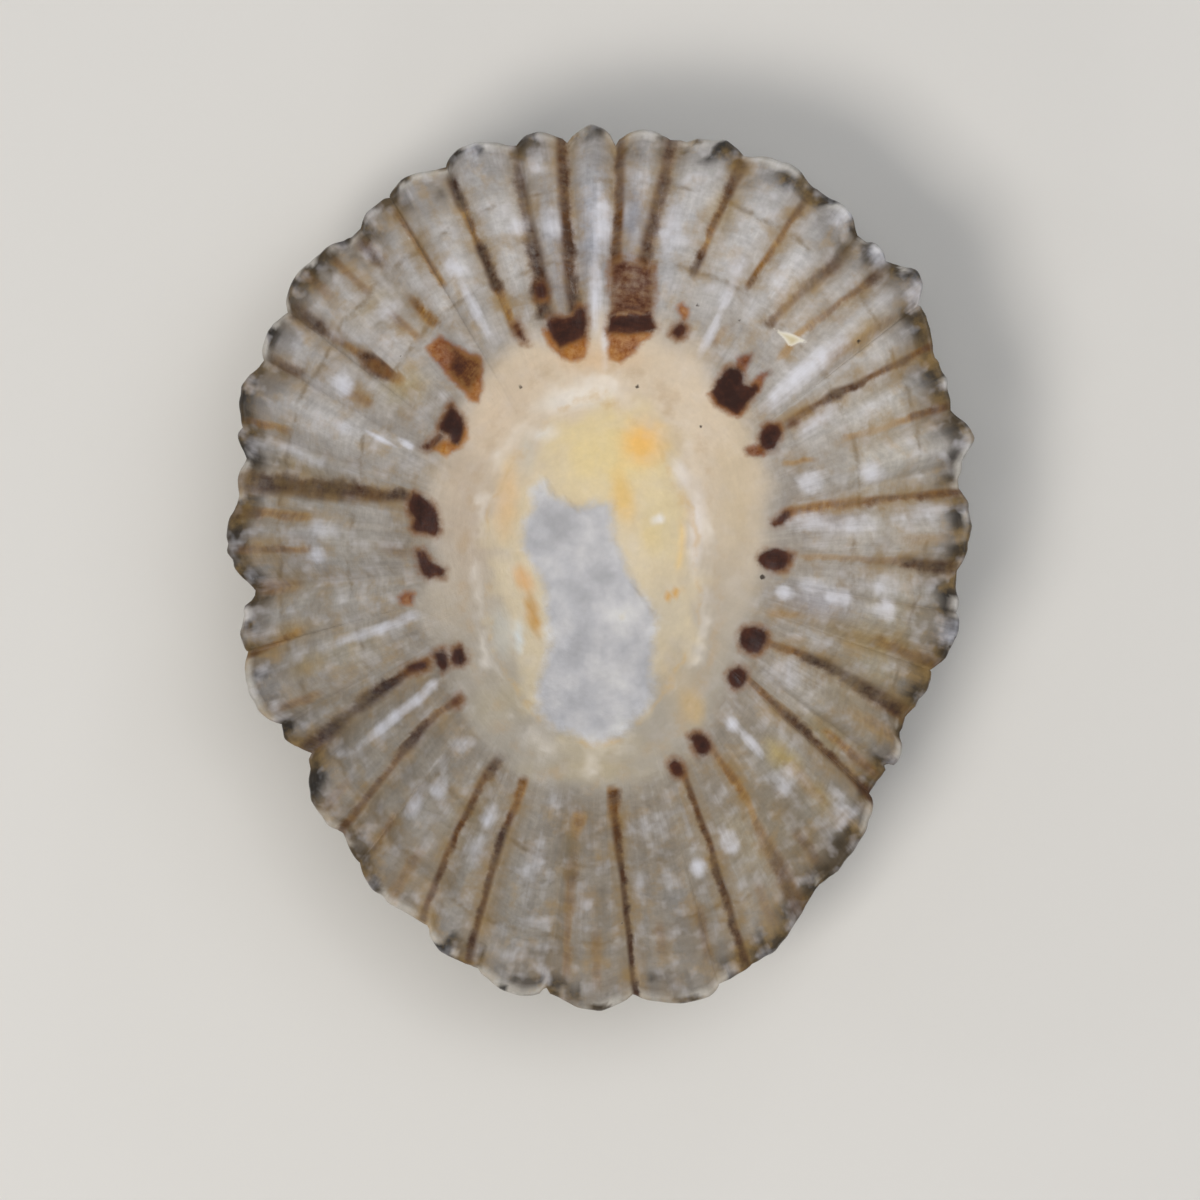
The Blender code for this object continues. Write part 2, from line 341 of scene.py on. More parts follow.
    ((10.8, 198.4, 0.30, 0.00, 0.30), (11.0, 198.4, 0.36, 0.88, 0.30), (12.2, 198.7, 0.36, 0.92, 0.40),
     (13.6, 199.0, 0.36, 0.95, 0.80), (15.5, 198.7, 0.26, 0.88, 0.60), (17.5, 198.3, 0.26, 0.85, 0.65),
     (19.4, 197.8, 0.34, 0.80, 0.80)),
    ((10.4, 206.0, 0.45, 0.20, 0.80), (10.7, 206.0, 0.50, 0.92, 0.85), (11.3, 206.8, 0.36, 0.88, 0.60),
     (12.5, 207.2, 0.30, 0.85, 0.50), (14.5, 207.0, 0.28, 0.85, 0.50), (16.5, 206.5, 0.28, 0.80, 0.60),
     (18.5, 205.8, 0.36, 0.78, 0.80)),
    ((15.5, 210.9, 0.30, 0.00, 0.30), (16.2, 211.0, 0.40, 0.38, 0.30), (18.0, 211.1, 0.40, 0.32, 0.40),
     (18.5, 211.1, 0.40, 0.00, 0.40)),
    ((14.8, 218.2, 0.25, 0.00, 0.20), (15.4, 218.0, 0.30, 0.45, 0.20), (16.6, 217.4, 0.30, 0.42, 0.40),
     (17.3, 217.2, 0.30, 0.00, 0.40)),
    ((9.3, 223.4, 0.30, 0.60, 0.40), (10.4, 225.3, 0.30, 0.75, 0.40), (11.5, 225.4, 0.45, 0.82, 0.75),
     (12.2, 225.0, 0.62, 0.85, 0.85), (13.2, 224.4, 0.30, 0.70, 0.50), (15.3, 223.5, 0.30, 0.68, 0.50),
     (17.2, 222.8, 0.36, 0.62, 0.60), (18.2, 222.5, 0.30, 0.40, 0.80)),
    ((15.2, 227.6, 0.30, 0.00, 0.40), (15.8, 227.4, 0.36, 0.32, 0.50), (16.9, 227.2, 0.36, 0.28, 0.50),
     (17.4, 227.2, 0.36, 0.00, 0.50)),
    ((9.4, 238.0, 0.36, 0.80, 0.40), (10.5, 238.0, 0.42, 0.88, 0.45), (11.2, 238.0, 0.60, 0.90, 0.90),
     (12.6, 237.6, 0.70, 0.85, 0.95), (13.4, 237.1, 0.42, 0.50, 0.70), (14.4, 236.4, 0.70, 0.75, 0.95),
     (15.5, 236.0, 0.85, 0.85, 0.95), (16.3, 235.8, 0.60, 0.65, 0.90), (17.2, 235.5, 0.30, 0.20, 0.90)),
    ((14.0, 243.2, 0.30, 0.00, 0.10), (14.5, 243.4, 0.36, 0.48, 0.10), (15.8, 243.8, 0.30, 0.42, 0.50),
     (16.4, 244.0, 0.30, 0.00, 0.50)),
    ((13.8, 255.2, 0.30, 0.00, 0.10), (14.2, 255.1, 0.36, 0.65, 0.10), (15.0, 254.6, 0.28, 0.68, 0.30),
     (16.3, 253.6, 0.26, 0.72, 0.60), (17.3, 253.3, 0.20, 0.10, 0.60)),
    ((13.4, 263.8, 0.40, 0.00, 0.10), (13.9, 263.8, 0.60, 0.42, 0.20), (15.3, 263.9, 0.60, 0.42, 0.30),
     (15.9, 264.0, 0.60, 0.00, 0.30)),
    ((13.0, 270.6, 0.30, 0.00, 0.20), (13.5, 270.6, 0.36, 0.62, 0.20), (15.0, 270.5, 0.32, 0.62, 0.50),
     (16.2, 270.4, 0.32, 0.52, 0.50), (16.7, 270.4, 0.30, 0.00, 0.50)),
    ((13.0, 277.2, 0.30, 0.00, 0.10), (13.5, 277.0, 0.36, 0.62, 0.10), (15.2, 276.6, 0.40, 0.52, 0.20),
     (15.9, 276.2, 0.50, 0.50, 0.90), (16.7, 276.0, 0.50, 0.40, 0.90)),
    ((8.9, 285.6, 0.30, 0.60, 0.60), (9.5, 285.9, 0.50, 0.92, 0.75), (10.4, 284.9, 0.62, 0.92, 0.80),
     (11.3, 284.3, 0.66, 0.90, 0.75), (12.5, 283.4, 0.78, 0.80, 0.95), (14.0, 282.6, 0.80, 0.80, 0.90),
     (15.5, 281.5, 0.95, 0.75, 1.00), (16.7, 280.9, 0.95, 0.62, 1.00)),
    ((14.9, 291.4, 0.20, 0.00, 0.10), (15.4, 291.3, 0.28, 0.65, 0.15), (16.3, 290.8, 0.28, 0.65, 0.25),
     (17.0, 290.5, 0.26, 0.40, 0.50), (17.4, 290.4, 0.20, 0.00, 0.50)),
    ((12.3, 302.8, 0.30, 0.00, 0.10), (12.6, 302.7, 0.42, 0.60, 0.15), (13.4, 302.3, 0.42, 0.55, 0.15),
     (13.8, 302.1, 0.30, 0.00, 0.30), (15.4, 300.8, 0.30, 0.00, 0.50), (15.9, 300.7, 0.42, 0.68, 0.60),
     (17.0, 300.4, 0.42, 0.58, 0.70), (17.4, 300.3, 0.40, 0.00, 0.70)),
    ((11.8, 310.8, 0.40, 0.00, 0.05), (12.1, 310.6, 0.50, 0.78, 0.10), (12.6, 310.2, 0.62, 0.88, 0.70),
     (13.0, 309.9, 0.85, 0.92, 0.95), (13.9, 309.7, 0.70, 0.88, 0.90), (14.4, 309.3, 0.30, 0.65, 0.30),
     (15.8, 308.8, 0.26, 0.60, 0.40), (16.4, 308.6, 0.70, 0.78, 0.95), (17.5, 308.3, 0.76, 0.72, 0.95)),
    ((16.6, 313.4, 0.30, 0.00, 0.30), (17.0, 313.4, 0.40, 0.38, 0.30), (18.0, 313.4, 0.40, 0.32, 0.50),
     (18.5, 313.4, 0.40, 0.00, 0.50)),
    ((12.6, 319.6, 0.30, 0.00, 0.20), (13.0, 319.5, 0.36, 0.62, 0.20), (14.2, 319.1, 0.32, 0.55, 0.30),
     (14.7, 318.8, 0.30, 0.05, 0.30), (15.6, 318.3, 0.28, 0.10, 0.40), (16.0, 318.2, 0.28, 0.55, 0.40),
     (17.6, 317.7, 0.28, 0.55, 0.40), (18.1, 317.6, 0.28, 0.00, 0.40)),
    ((12.7, 323.9, 0.30, 0.00, 0.15), (12.9, 323.9, 0.46, 0.90, 0.20), (13.5, 323.6, 0.50, 0.90, 0.25),
     (14.2, 323.4, 0.46, 0.85, 0.35), (14.7, 323.2, 0.30, 0.05, 0.40), (16.1, 323.0, 0.42, 0.10, 0.60),
     (16.6, 322.8, 0.56, 0.75, 0.80), (17.6, 322.5, 0.56, 0.70, 0.80), (18.1, 322.4, 0.50, 0.00, 0.80)),
    ((13.9, 329.8, 0.20, 0.00, 0.10), (14.2, 329.7, 0.26, 0.70, 0.10), (15.5, 329.6, 0.24, 0.70, 0.20),
     (16.5, 329.4, 0.24, 0.65, 0.30), (17.9, 329.2, 0.26, 0.58, 0.50), (18.3, 329.1, 0.20, 0.00, 0.50)),
    ((10.9, 339.2, 0.36, 0.50, 0.40), (11.5, 339.1, 0.36, 0.85, 0.10), (12.6, 338.9, 0.36, 0.88, 0.15),
     (13.0, 338.8, 0.52, 0.95, 0.80), (14.9, 338.6, 0.46, 0.95, 0.80), (15.3, 338.5, 0.28, 0.82, 0.30),
     (16.6, 338.4, 0.28, 0.78, 0.30), (16.9, 338.3, 0.52, 0.82, 0.90), (18.1, 338.2, 0.52, 0.78, 0.90),
     (18.5, 338.1, 0.30, 0.00, 0.90)),
    ((11.2, 347.2, 0.80, 0.90, 0.95), (12.5, 347.4, 0.80, 0.88, 0.90), (14.0, 347.6, 0.72, 0.85, 0.85),
     (15.5, 347.7, 0.56, 0.75, 0.80), (17.2, 347.9, 0.52, 0.68, 0.80), (18.4, 348.0, 0.42, 0.35, 0.80)),
    ((11.2, 354.0, 0.60, 0.92, 0.80), (13.0, 354.0, 0.56, 0.95, 0.75), (15.0, 354.1, 0.56, 0.95, 0.70),
     (17.0, 354.3, 0.52, 0.92, 0.65), (18.6, 354.5, 0.56, 0.88, 0.70), (19.2, 354.6, 0.42, 0.60, 0.80)),
)


class Pigment(Enum):
    """The two kinds of pigment in the blots at the inner ends of the rays."""

    RUST = "rust"
    DARK = "dark"


@dataclass(frozen=True)
class Blot:
    """A blot of pigment with an outline of its own, in mm across and along."""

    pigment: Pigment
    tone: float  # 0 is pale and 1 deep
    outline: tuple


BLOTS = (
    # the block in the middle of the broad end, its dark lower bar and the rust below that
    Blot(Pigment.DARK, 0.30, ((0.46, 13.3), (1.0, 13.5), (2.45, 13.1), (2.48, 11.6), (2.42, 10.9),
                              (0.42, 10.9), (0.46, 12.0))),
    Blot(Pigment.DARK, 0.80, ((0.38, 10.95), (1.5, 11.02), (2.38, 11.0), (2.62, 10.35), (2.45, 10.12),
                              (1.4, 10.05), (0.32, 10.1))),
    Blot(Pigment.RUST, 0.45, ((0.35, 10.2), (2.45, 10.15), (2.25, 9.85), (1.9, 9.7), (1.75, 9.35),
                              (1.35, 8.95), (0.95, 8.75), (0.4, 8.95))),
    Blot(Pigment.RUST, 0.90, ((0.5, 10.1), (2.3, 10.1), (1.9, 9.75), (1.3, 9.55), (0.8, 9.6))),
    # the forked one beside it, anticlockwise
    Blot(Pigment.DARK, 0.85, ((-2.5, 10.45), (-2.4, 10.75), (-2.05, 10.85), (-1.65, 10.78), (-1.3, 10.9),
                              (-0.95, 11.3), (-0.68, 11.2), (-0.58, 10.6), (-0.66, 9.95), (-1.2, 9.7),
                              (-1.85, 9.45), (-2.2, 9.8))),
    Blot(Pigment.RUST, 0.45, ((-2.7, 10.3), (-2.3, 9.5), (-1.8, 9.0), (-1.2, 8.8), (-0.68, 8.95),
                              (-0.56, 9.9), (-1.0, 10.2), (-2.0, 10.3))),
    Blot(Pigment.DARK, 0.70, ((-3.0, 12.3), (-2.55, 12.5), (-2.35, 12.0), (-2.45, 11.6), (-2.9, 11.6),
                              (-3.05, 12.0))),
    Blot(Pigment.DARK, 0.60, ((-4.05, 10.45), (-3.75, 10.6), (-3.5, 10.1), (-3.25, 9.65), (-3.55, 9.65),
                              (-3.85, 9.95))),
    # the slanting one and the arrow below it
    Blot(Pigment.DARK, 0.40, ((-7.05, 9.6), (-6.7, 9.45), (-6.15, 9.05), (-5.65, 9.0), (-5.45, 8.7),
                              (-5.55, 8.2), (-5.8, 7.75), (-6.0, 7.42), (-6.4, 7.75), (-6.9, 8.2),
                              (-6.95, 8.6), (-6.75, 9.0))),
    Blot(Pigment.RUST, 0.55, ((-7.95, 9.35), (-7.3, 9.95), (-6.3, 9.3), (-5.5, 8.9), (-5.4, 7.7),
                              (-5.6, 6.95), (-5.95, 7.05), (-6.25, 7.5), (-7.0, 8.15), (-7.5, 8.7))),
    Blot(Pigment.DARK, 0.90, ((-6.85, 6.95), (-6.65, 6.6), (-6.3, 6.25), (-6.2, 5.8), (-6.3, 5.4),
                              (-6.5, 4.95), (-6.8, 4.95), (-6.95, 5.4), (-7.4, 5.6), (-7.4, 5.95),
                              (-7.1, 6.4))),
    Blot(Pigment.DARK, 0.75, ((-8.3, 4.85), (-7.85, 5.15), (-7.4, 5.5), (-7.15, 5.35), (-7.55, 4.95),
                              (-7.9, 4.68))),
    Blot(Pigment.RUST, 0.30, ((-7.7, 4.8), (-7.1, 4.45), (-6.6, 4.7), (-6.1, 5.3), (-6.05, 5.9),
                              (-6.5, 5.9), (-6.6, 5.1), (-7.2, 5.2))),
    Blot(Pigment.DARK, 0.25, ((-10.4, 8.75), (-10.0, 8.6), (-9.65, 8.2), (-9.9, 8.1), (-10.4, 8.35),
                              (-10.75, 8.6))),
    # the pair at the left
    Blot(Pigment.DARK, 0.90, ((-8.6, 2.8), (-8.2, 2.65), (-7.8, 2.35), (-7.5, 1.9), (-7.4, 1.5),
                              (-7.4, 1.0), (-7.55, 0.75), (-7.9, 0.9), (-8.5, 0.95), (-8.65, 1.15),
                              (-8.55, 1.5), (-8.8, 1.9), (-8.8, 2.3))),
    Blot(Pigment.DARK, 0.75, ((-8.5, 0.1), (-8.05, 0.15), (-7.8, -0.3), (-7.5, -0.5), (-7.1, -0.75),
                              (-7.15, -1.1), (-7.5, -1.1), (-7.9, -1.25), (-8.2, -1.0), (-8.35, -0.6))),
    Blot(Pigment.RUST, 0.50, ((-9.3, -2.05), (-8.9, -1.75), (-8.5, -1.85), (-8.6, -2.35), (-9.1, -2.4))),
    # the row at the lower left
    Blot(Pigment.DARK, 0.85, ((-6.75, -4.4), (-6.4, -4.25), (-6.2, -4.55), (-6.1, -4.95), (-6.3, -5.2),
                              (-6.7, -5.2), (-6.9, -4.9))),
    Blot(Pigment.DARK, 0.95, ((-7.65, -4.6), (-7.2, -4.4), (-6.98, -4.7), (-6.95, -5.2), (-7.2, -5.5),
                              (-7.5, -5.2))),
    Blot(Pigment.DARK, 0.70, ((-9.0, -5.2), (-8.5, -5.0), (-7.95, -4.9), (-7.8, -5.3), (-8.3, -5.45),
                              (-8.8, -5.55))),
    Blot(Pigment.DARK, 0.50, ((-6.85, -6.65), (-6.45, -6.5), (-6.25, -6.8), (-6.55, -7.12), (-6.88, -7.0))),
    # the round ones at the lower right and right
    Blot(Pigment.DARK, 0.80, ((3.15, -9.7), (3.4, -9.45), (3.7, -9.6), (3.9, -9.95), (3.8, -10.3),
                              (3.45, -10.3), (3.2, -10.1))),
    Blot(Pigment.DARK, 0.85, ((4.1, -8.45), (4.4, -8.25), (4.8, -8.3), (5.1, -8.65), (5.1, -9.05),
                              (4.85, -9.3), (4.55, -9.35), (4.3, -9.0))),
    Blot(Pigment.DARK, 0.85, ((5.8, -5.65), (6.0, -5.35), (6.4, -5.2), (6.75, -5.45), (6.8, -5.8),
                              (6.6, -6.15), (6.3, -6.3), (5.95, -6.1))),
    Blot(Pigment.DARK, 0.90, ((6.4, -3.75), (6.6, -3.45), (7.1, -3.38), (7.6, -3.5), (7.75, -3.85),
                              (7.6, -4.3), (7.3, -4.65), (6.95, -4.65), (6.5, -4.4), (6.35, -4.1))),
    Blot(Pigment.DARK, 0.90, ((7.3, -0.15), (7.6, 0.15), (8.1, 0.28), (8.5, 0.1), (8.85, -0.1),
                              (8.7, -0.45), (8.5, -0.82), (8.0, -0.85), (7.5, -0.7), (7.25, -0.4))),
    Blot(Pigment.DARK, 0.85, ((7.85, 1.35), (8.2, 1.68), (8.5, 1.98), (8.85, 1.95), (8.72, 1.62),
                              (8.4, 1.3), (8.0, 1.18))),
    Blot(Pigment.DARK, 0.90, ((7.3, 5.35), (7.5, 5.75), (7.8, 5.92), (8.2, 5.9), (8.38, 5.5), (8.2, 5.1),
                              (8.1, 4.75), (7.7, 4.68), (7.4, 4.85))),
    Blot(Pigment.RUST, 0.75, ((7.5, 4.95), (7.1, 4.95), (6.62, 4.82), (6.8, 4.5), (7.2, 4.38),
                              (7.7, 4.55))),
    Blot(Pigment.RUST, 0.85, ((8.6, 5.75), (8.75, 6.12), (9.12, 6.08), (9.05, 5.8))),
    # the large one at the upper right, with its two arms
    Blot(Pigment.DARK, 1.00, ((5.12, 7.4), (5.4, 7.95), (5.75, 8.4), (5.95, 8.57), (6.4, 8.5), (6.62, 8.2),
                              (6.6, 7.75), (6.9, 7.65), (7.15, 7.75), (7.32, 7.55), (7.0, 7.1),
                              (6.6, 6.6), (6.3, 6.33), (5.9, 6.55), (5.4, 6.85))),
    Blot(Pigment.RUST, 0.70, ((6.95, 7.4), (7.3, 7.45), (7.55, 8.05), (7.9, 8.2), (7.75, 8.38),
                              (7.3, 8.2), (7.1, 7.8))),
    Blot(Pigment.RUST, 0.75, ((6.2, 8.4), (6.35, 9.0), (6.95, 9.1), (6.9, 8.75), (6.6, 8.35))),
    Blot(Pigment.RUST, 0.60, ((5.0, 7.3), (5.4, 6.7), (5.95, 6.38), (6.3, 6.22), (6.6, 6.45), (6.0, 6.9),
                              (5.3, 7.5))),
    Blot(Pigment.DARK, 0.75, ((3.2, 10.05), (3.45, 10.45), (3.8, 10.6), (4.0, 10.3), (3.9, 9.95),
                              (3.55, 9.78))),
    Blot(Pigment.RUST, 0.50, ((3.5, 11.2), (3.75, 11.45), (4.05, 11.2), (4.02, 10.7), (3.75, 10.8))),
)

# A flake off the inner layer at the upper right, and specks of grit
FLAKE = ((7.94, 10.24), (8.90, 9.92), (9.50, 9.60), (9.10, 9.60), (8.66, 9.41), (8.48, 9.72))
SPECKS = (
    # across, along and radius
    (-3.67, 7.65, 0.10), (-5.00, 7.12, 0.06), (1.72, 7.69, 0.10), (4.48, 11.36, 0.10), (6.38, 10.68, 0.09),
    (11.77, 9.59, 0.10), (4.66, 5.84, 0.07), (-0.81, 2.85, 0.09), (7.48, -1.12, 0.12), (3.35, 11.9, 0.05),
    (16.25, -3.95, 0.14), (15.9, -4.3, 0.08), (-9.1, 9.0, 0.05), (0.85, -14.2, 0.07), (1.0, -16.9, 0.06),
)


@dataclass(frozen=True)
class Wash:
    """A soft area of colour on the inside, laid over those before it."""

    x: float
    y: float
    half_x: float
    half_y: float
    turn: float  # clockwise
    colour: str
    strength: float
    edge: float  # share of the area over which it fades, 1 for a plain soft spot


WASHES = (
    # broad changes of tone round the bowl, partly painted light and shade: lighter at the top and darker
    # towards the bottom; the bluish grey at the top is a painted reflection
    Wash(0.0, 9.0, 20.0, 13.0, 0.0, "#BCB9B6", 0.60, 0.9),
    Wash(0.2, 14.3, 4.6, 4.8, 0.0, "#A3A5AE", 0.85, 0.8),
    Wash(7.0, 13.0, 4.2, 4.8, 28.0, "#C1BFBE", 0.70, 0.9),
    Wash(13.2, 4.5, 4.0, 7.0, 0.0, "#B8B2A6", 0.60, 0.9),
    Wash(13.0, -5.0, 4.2, 5.5, 25.0, "#9B9078", 0.75, 0.9),
    Wash(9.5, -12.0, 4.5, 5.5, -40.0, "#8D8678", 0.75, 0.9),
    Wash(0.0, -15.5, 7.5, 6.0, 0.0, "#8B847A", 0.75, 0.9),
    Wash(-10.0, -9.5, 6.0, 6.0, 45.0, "#908A80", 0.65, 0.9),
    Wash(-12.8, 0.5, 4.2, 6.5, 0.0, "#A9A49B", 0.70, 0.9),
    Wash(-11.5, 9.0, 5.5, 5.0, -30.0, "#BEBAB7", 0.65, 0.9),
    # bluish where the inside is thin and glassy; the two at the top also paint a bluish reflection
    Wash(10.2, 1.7, 2.6, 1.4, 0.0, "#B3B0B6", 0.70, 1.0),
    Wash(10.0, -2.3, 2.8, 1.3, 10.0, "#B2B1B8", 0.75, 1.0),
    Wash(-13.6, 0.3, 1.6, 1.6, 0.0, "#A2A2A8", 0.60, 1.0),
    Wash(-1.7, 13.0, 1.0, 2.6, -6.0, "#969AA8", 0.75, 1.0),
    Wash(1.6, 15.4, 0.9, 2.2, 6.0, "#9A9EAA", 0.65, 1.0),
    Wash(-12.9, -0.9, 2.0, 0.8, 0.0, "#9FA0A6", 0.50, 1.0),
    Wash(3.9, -16.4, 1.6, 2.6, -14.0, "#8C8A88", 0.60, 1.0),
    # tan and ochre, where less was laid down over the outer layer
    Wash(5.6, 15.6, 1.1, 1.9, 20.0, "#B39C6E", 0.55, 1.0),
    Wash(10.3, 12.6, 0.9, 1.6, 39.0, "#7E6A4C", 0.60, 1.0),
    Wash(8.6, 11.6, 0.8, 1.8, 37.0, "#A98B58", 0.50, 1.0),
    Wash(11.9, 9.9, 0.9, 2.2, 51.0, "#AE9359", 0.55, 1.0),
    Wash(11.0, -3.6, 1.9, 0.9, 18.0, "#A58C5C", 0.60, 1.0),
    Wash(12.9, -4.1, 1.9, 1.0, 17.0, "#A58A50", 0.70, 1.0),
    Wash(10.4, -8.3, 2.6, 1.1, 38.0, "#93814F", 0.65, 1.0),
    Wash(8.3, -9.3, 1.6, 0.9, 48.0, "#BFAA66", 0.65, 1.0),
    Wash(10.0, -11.1, 1.4, 0.7, 48.0, "#A08A50", 0.60, 1.0),
    Wash(-13.4, -5.2, 1.8, 0.8, -20.0, "#A48A50", 0.60, 1.0),
    Wash(-14.0, -3.6, 1.8, 0.7, -15.0, "#A88A4E", 0.60, 1.0),
    Wash(-13.8, -1.1, 2.2, 0.7, -4.0, "#9C8250", 0.60, 1.0),
    Wash(-11.2, -4.4, 2.4, 1.3, -18.0, "#A19270", 0.50, 1.0),
    Wash(-9.0, 7.6, 1.9, 1.3, -40.0, "#BCA873", 0.65, 1.0),
    Wash(-10.4, 11.0, 2.0, 1.2, -42.0, "#A89B7C", 0.50, 1.0),
    Wash(-14.0, 4.0, 2.2, 0.6, 15.0, "#A58B55", 0.55, 1.0),
    Wash(-9.3, 0.1, 1.0, 0.5, 20.0, "#85705C", 0.75, 0.8),
    Wash(-1.3, -13.4, 0.6, 2.0, 5.0, "#7F7355", 0.60, 1.0),
    Wash(-6.3, -12.2, 1.2, 2.2, 28.0, "#9A8A68", 0.50, 1.0),
    Wash(6.4, -13.2, 1.4, 2.4, -26.0, "#9B8D70", 0.50, 1.0),
    # wide brown bars on the left
    Wash(-12.4, 2.75, 4.2, 0.62, 6.0, "#5B493A", 0.80, 0.6),
    Wash(-11.6, 9.60, 2.8, 0.45, 31.0, "#6B543B", 0.55, 0.8),
    # dark places along the margin, where the outer layer shows
    Wash(-2.9, -19.6, 1.3, 0.45, -8.0, "#35322C", 0.90, 0.7),
    Wash(-0.8, 18.9, 1.1, 0.35, -2.0, "#4C4B49", 0.85, 0.8),
    Wash(2.9, 18.9, 0.8, 0.40, 9.0, "#6A6866", 0.70, 0.9),
    Wash(6.6, 17.9, 1.0, 0.40, 20.0, "#62584A", 0.70, 0.9),
    Wash(9.3, 17.1, 1.3, 0.40, 29.0, "#555350", 0.85, 0.8),
    Wash(15.5, 8.9, 0.35, 0.80, 15.0, "#3E3D3B", 0.85, 0.8),
    Wash(16.2, 5.6, 0.45, 1.1, 15.0, "#63605B", 0.75, 0.9),
    Wash(15.1, -5.6, 0.35, 0.9, 20.0, "#4A4640", 0.80, 0.8),
    Wash(13.1, -10.8, 0.50, 1.3, 38.0, "#37322B", 0.90, 0.7),
    Wash(-16.3, -1.3, 0.40, 1.0, 5.0, "#4C3A26", 0.85, 0.8),
    Wash(-16.4, 1.9, 0.50, 1.4, -5.0, "#74685A", 0.60, 0.9),
    Wash(-9.4, 16.6, 1.3, 0.35, -30.0, "#6A6764", 0.75, 0.9),
    Wash(-13.4, 11.0, 0.8, 0.40, -50.0, "#6B5D50", 0.70, 0.9),
    Wash(-12.9, 12.4, 1.2, 0.8, -45.0, "#8D8880", 0.60, 0.9),
    Wash(-6.2, 18.2, 1.1, 0.6, -19.0, "#97948E", 0.50, 0.9),
)

# Milky streaks and spots, where the inside is thickest, with painted highlights laid in them: angle,
# distance from the apex, half its length along the shell's radius, half its width and its strength
MILK_AND_HIGHLIGHTS = (
    (48.7, 12.7, 2.3, 0.42, 0.85), (48.4, 11.0, 0.9, 0.30, 0.60), (50.8, 18.7, 0.8, 0.60, 0.60),
    (73.1, 12.9, 0.5, 0.45, 0.75), (71.6, 10.2, 0.6, 0.50, 0.70), (12.2, 15.1, 1.0, 0.50, 0.55),
    (0.2, 14.9, 1.2, 0.42, 0.70), (359.0, 12.0, 1.7, 0.30, 0.65), (1.5, 10.0, 1.6, 0.24, 0.45),
    (26.3, 13.0, 0.6, 0.32, 0.60), (26.8, 11.2, 1.0, 0.22, 0.70), (25.6, 14.4, 0.5, 0.50, 0.50),
    (33.0, 14.9, 0.8, 0.60, 0.40), (35.7, 18.8, 0.6, 0.60, 0.50), (43.0, 18.4, 0.5, 0.50, 0.50),
    (58.5, 11.6, 1.0, 0.50, 0.45), (62.0, 14.0, 1.2, 0.50, 0.35), (81.6, 9.5, 0.8, 0.45, 0.50),
    (84.0, 11.9, 1.0, 0.45, 0.45), (83.2, 14.6, 1.0, 0.60, 0.40), (102.3, 8.7, 0.4, 0.30, 0.80),
    (98.7, 9.8, 0.6, 0.35, 0.55), (100.5, 11.1, 0.5, 0.38, 0.85), (101.5, 13.2, 0.5, 0.40, 0.80),
    (97.0, 13.0, 1.6, 0.50, 0.40), (122.0, 10.5, 0.8, 0.60, 0.40), (142.3, 10.0, 0.32, 0.28, 0.85),
    (141.5, 11.2, 0.8, 0.20, 0.75), (141.3, 13.3, 0.7, 0.65, 0.55), (155.9, 14.5, 0.5, 0.45, 0.65),
    (162.7, 15.1, 0.4, 0.34, 0.85), (137.3, 15.9, 1.0, 0.80, 0.35), (102.8, 16.3, 0.8, 0.70, 0.40),
    (251.0, 11.0, 2.1, 0.22, 0.70), (251.7, 9.3, 0.6, 0.22, 0.70), (231.3, 11.9, 2.0, 0.24, 0.80),
    (232.1, 9.9, 0.6, 0.20, 0.50), (215.9, 11.0, 0.5, 0.45, 0.50), (216.2, 14.3, 0.6, 0.32, 0.80),
    (214.4, 13.0, 0.5, 0.36, 0.70), (202.8, 13.0, 0.5, 0.34, 0.65), (202.9, 14.7, 0.8, 0.45, 0.45),
    (192.1, 14.6, 1.2, 0.60, 0.40), (275.0, 12.8, 0.5, 0.42, 0.70), (269.4, 12.9, 0.4, 0.36, 0.70),
    (303.1, 14.0, 0.45, 0.42, 0.90), (299.4, 10.2, 0.32, 0.16, 0.95), (297.4, 11.3, 0.7, 0.10, 0.95),
    (296.2, 12.9, 0.7, 0.35, 0.45), (318.7, 14.7, 0.5, 0.50, 0.60), (332.8, 12.7, 1.3, 0.22, 0.75),
    (333.0, 14.6, 0.5, 0.40, 0.60), (342.3, 19.0, 0.5, 0.50, 0.45), (345.7, 15.4, 0.5, 0.50, 0.50),
    (351.4, 15.2, 0.8, 0.45, 0.55), (350.2, 18.0, 0.7, 0.60, 0.40), (6.5, 17.0, 1.2, 0.45, 0.35),
    (323.0, 17.0, 0.8, 0.60, 0.35), (309.5, 15.6, 0.7, 0.40, 0.35), (288.0, 14.6, 1.2, 0.40, 0.35),
    (171.0, 12.6, 0.8, 0.80, 0.30), (190.6, 11.6, 0.6, 0.50, 0.35), (182.0, 16.0, 1.0, 0.60, 0.25),
)

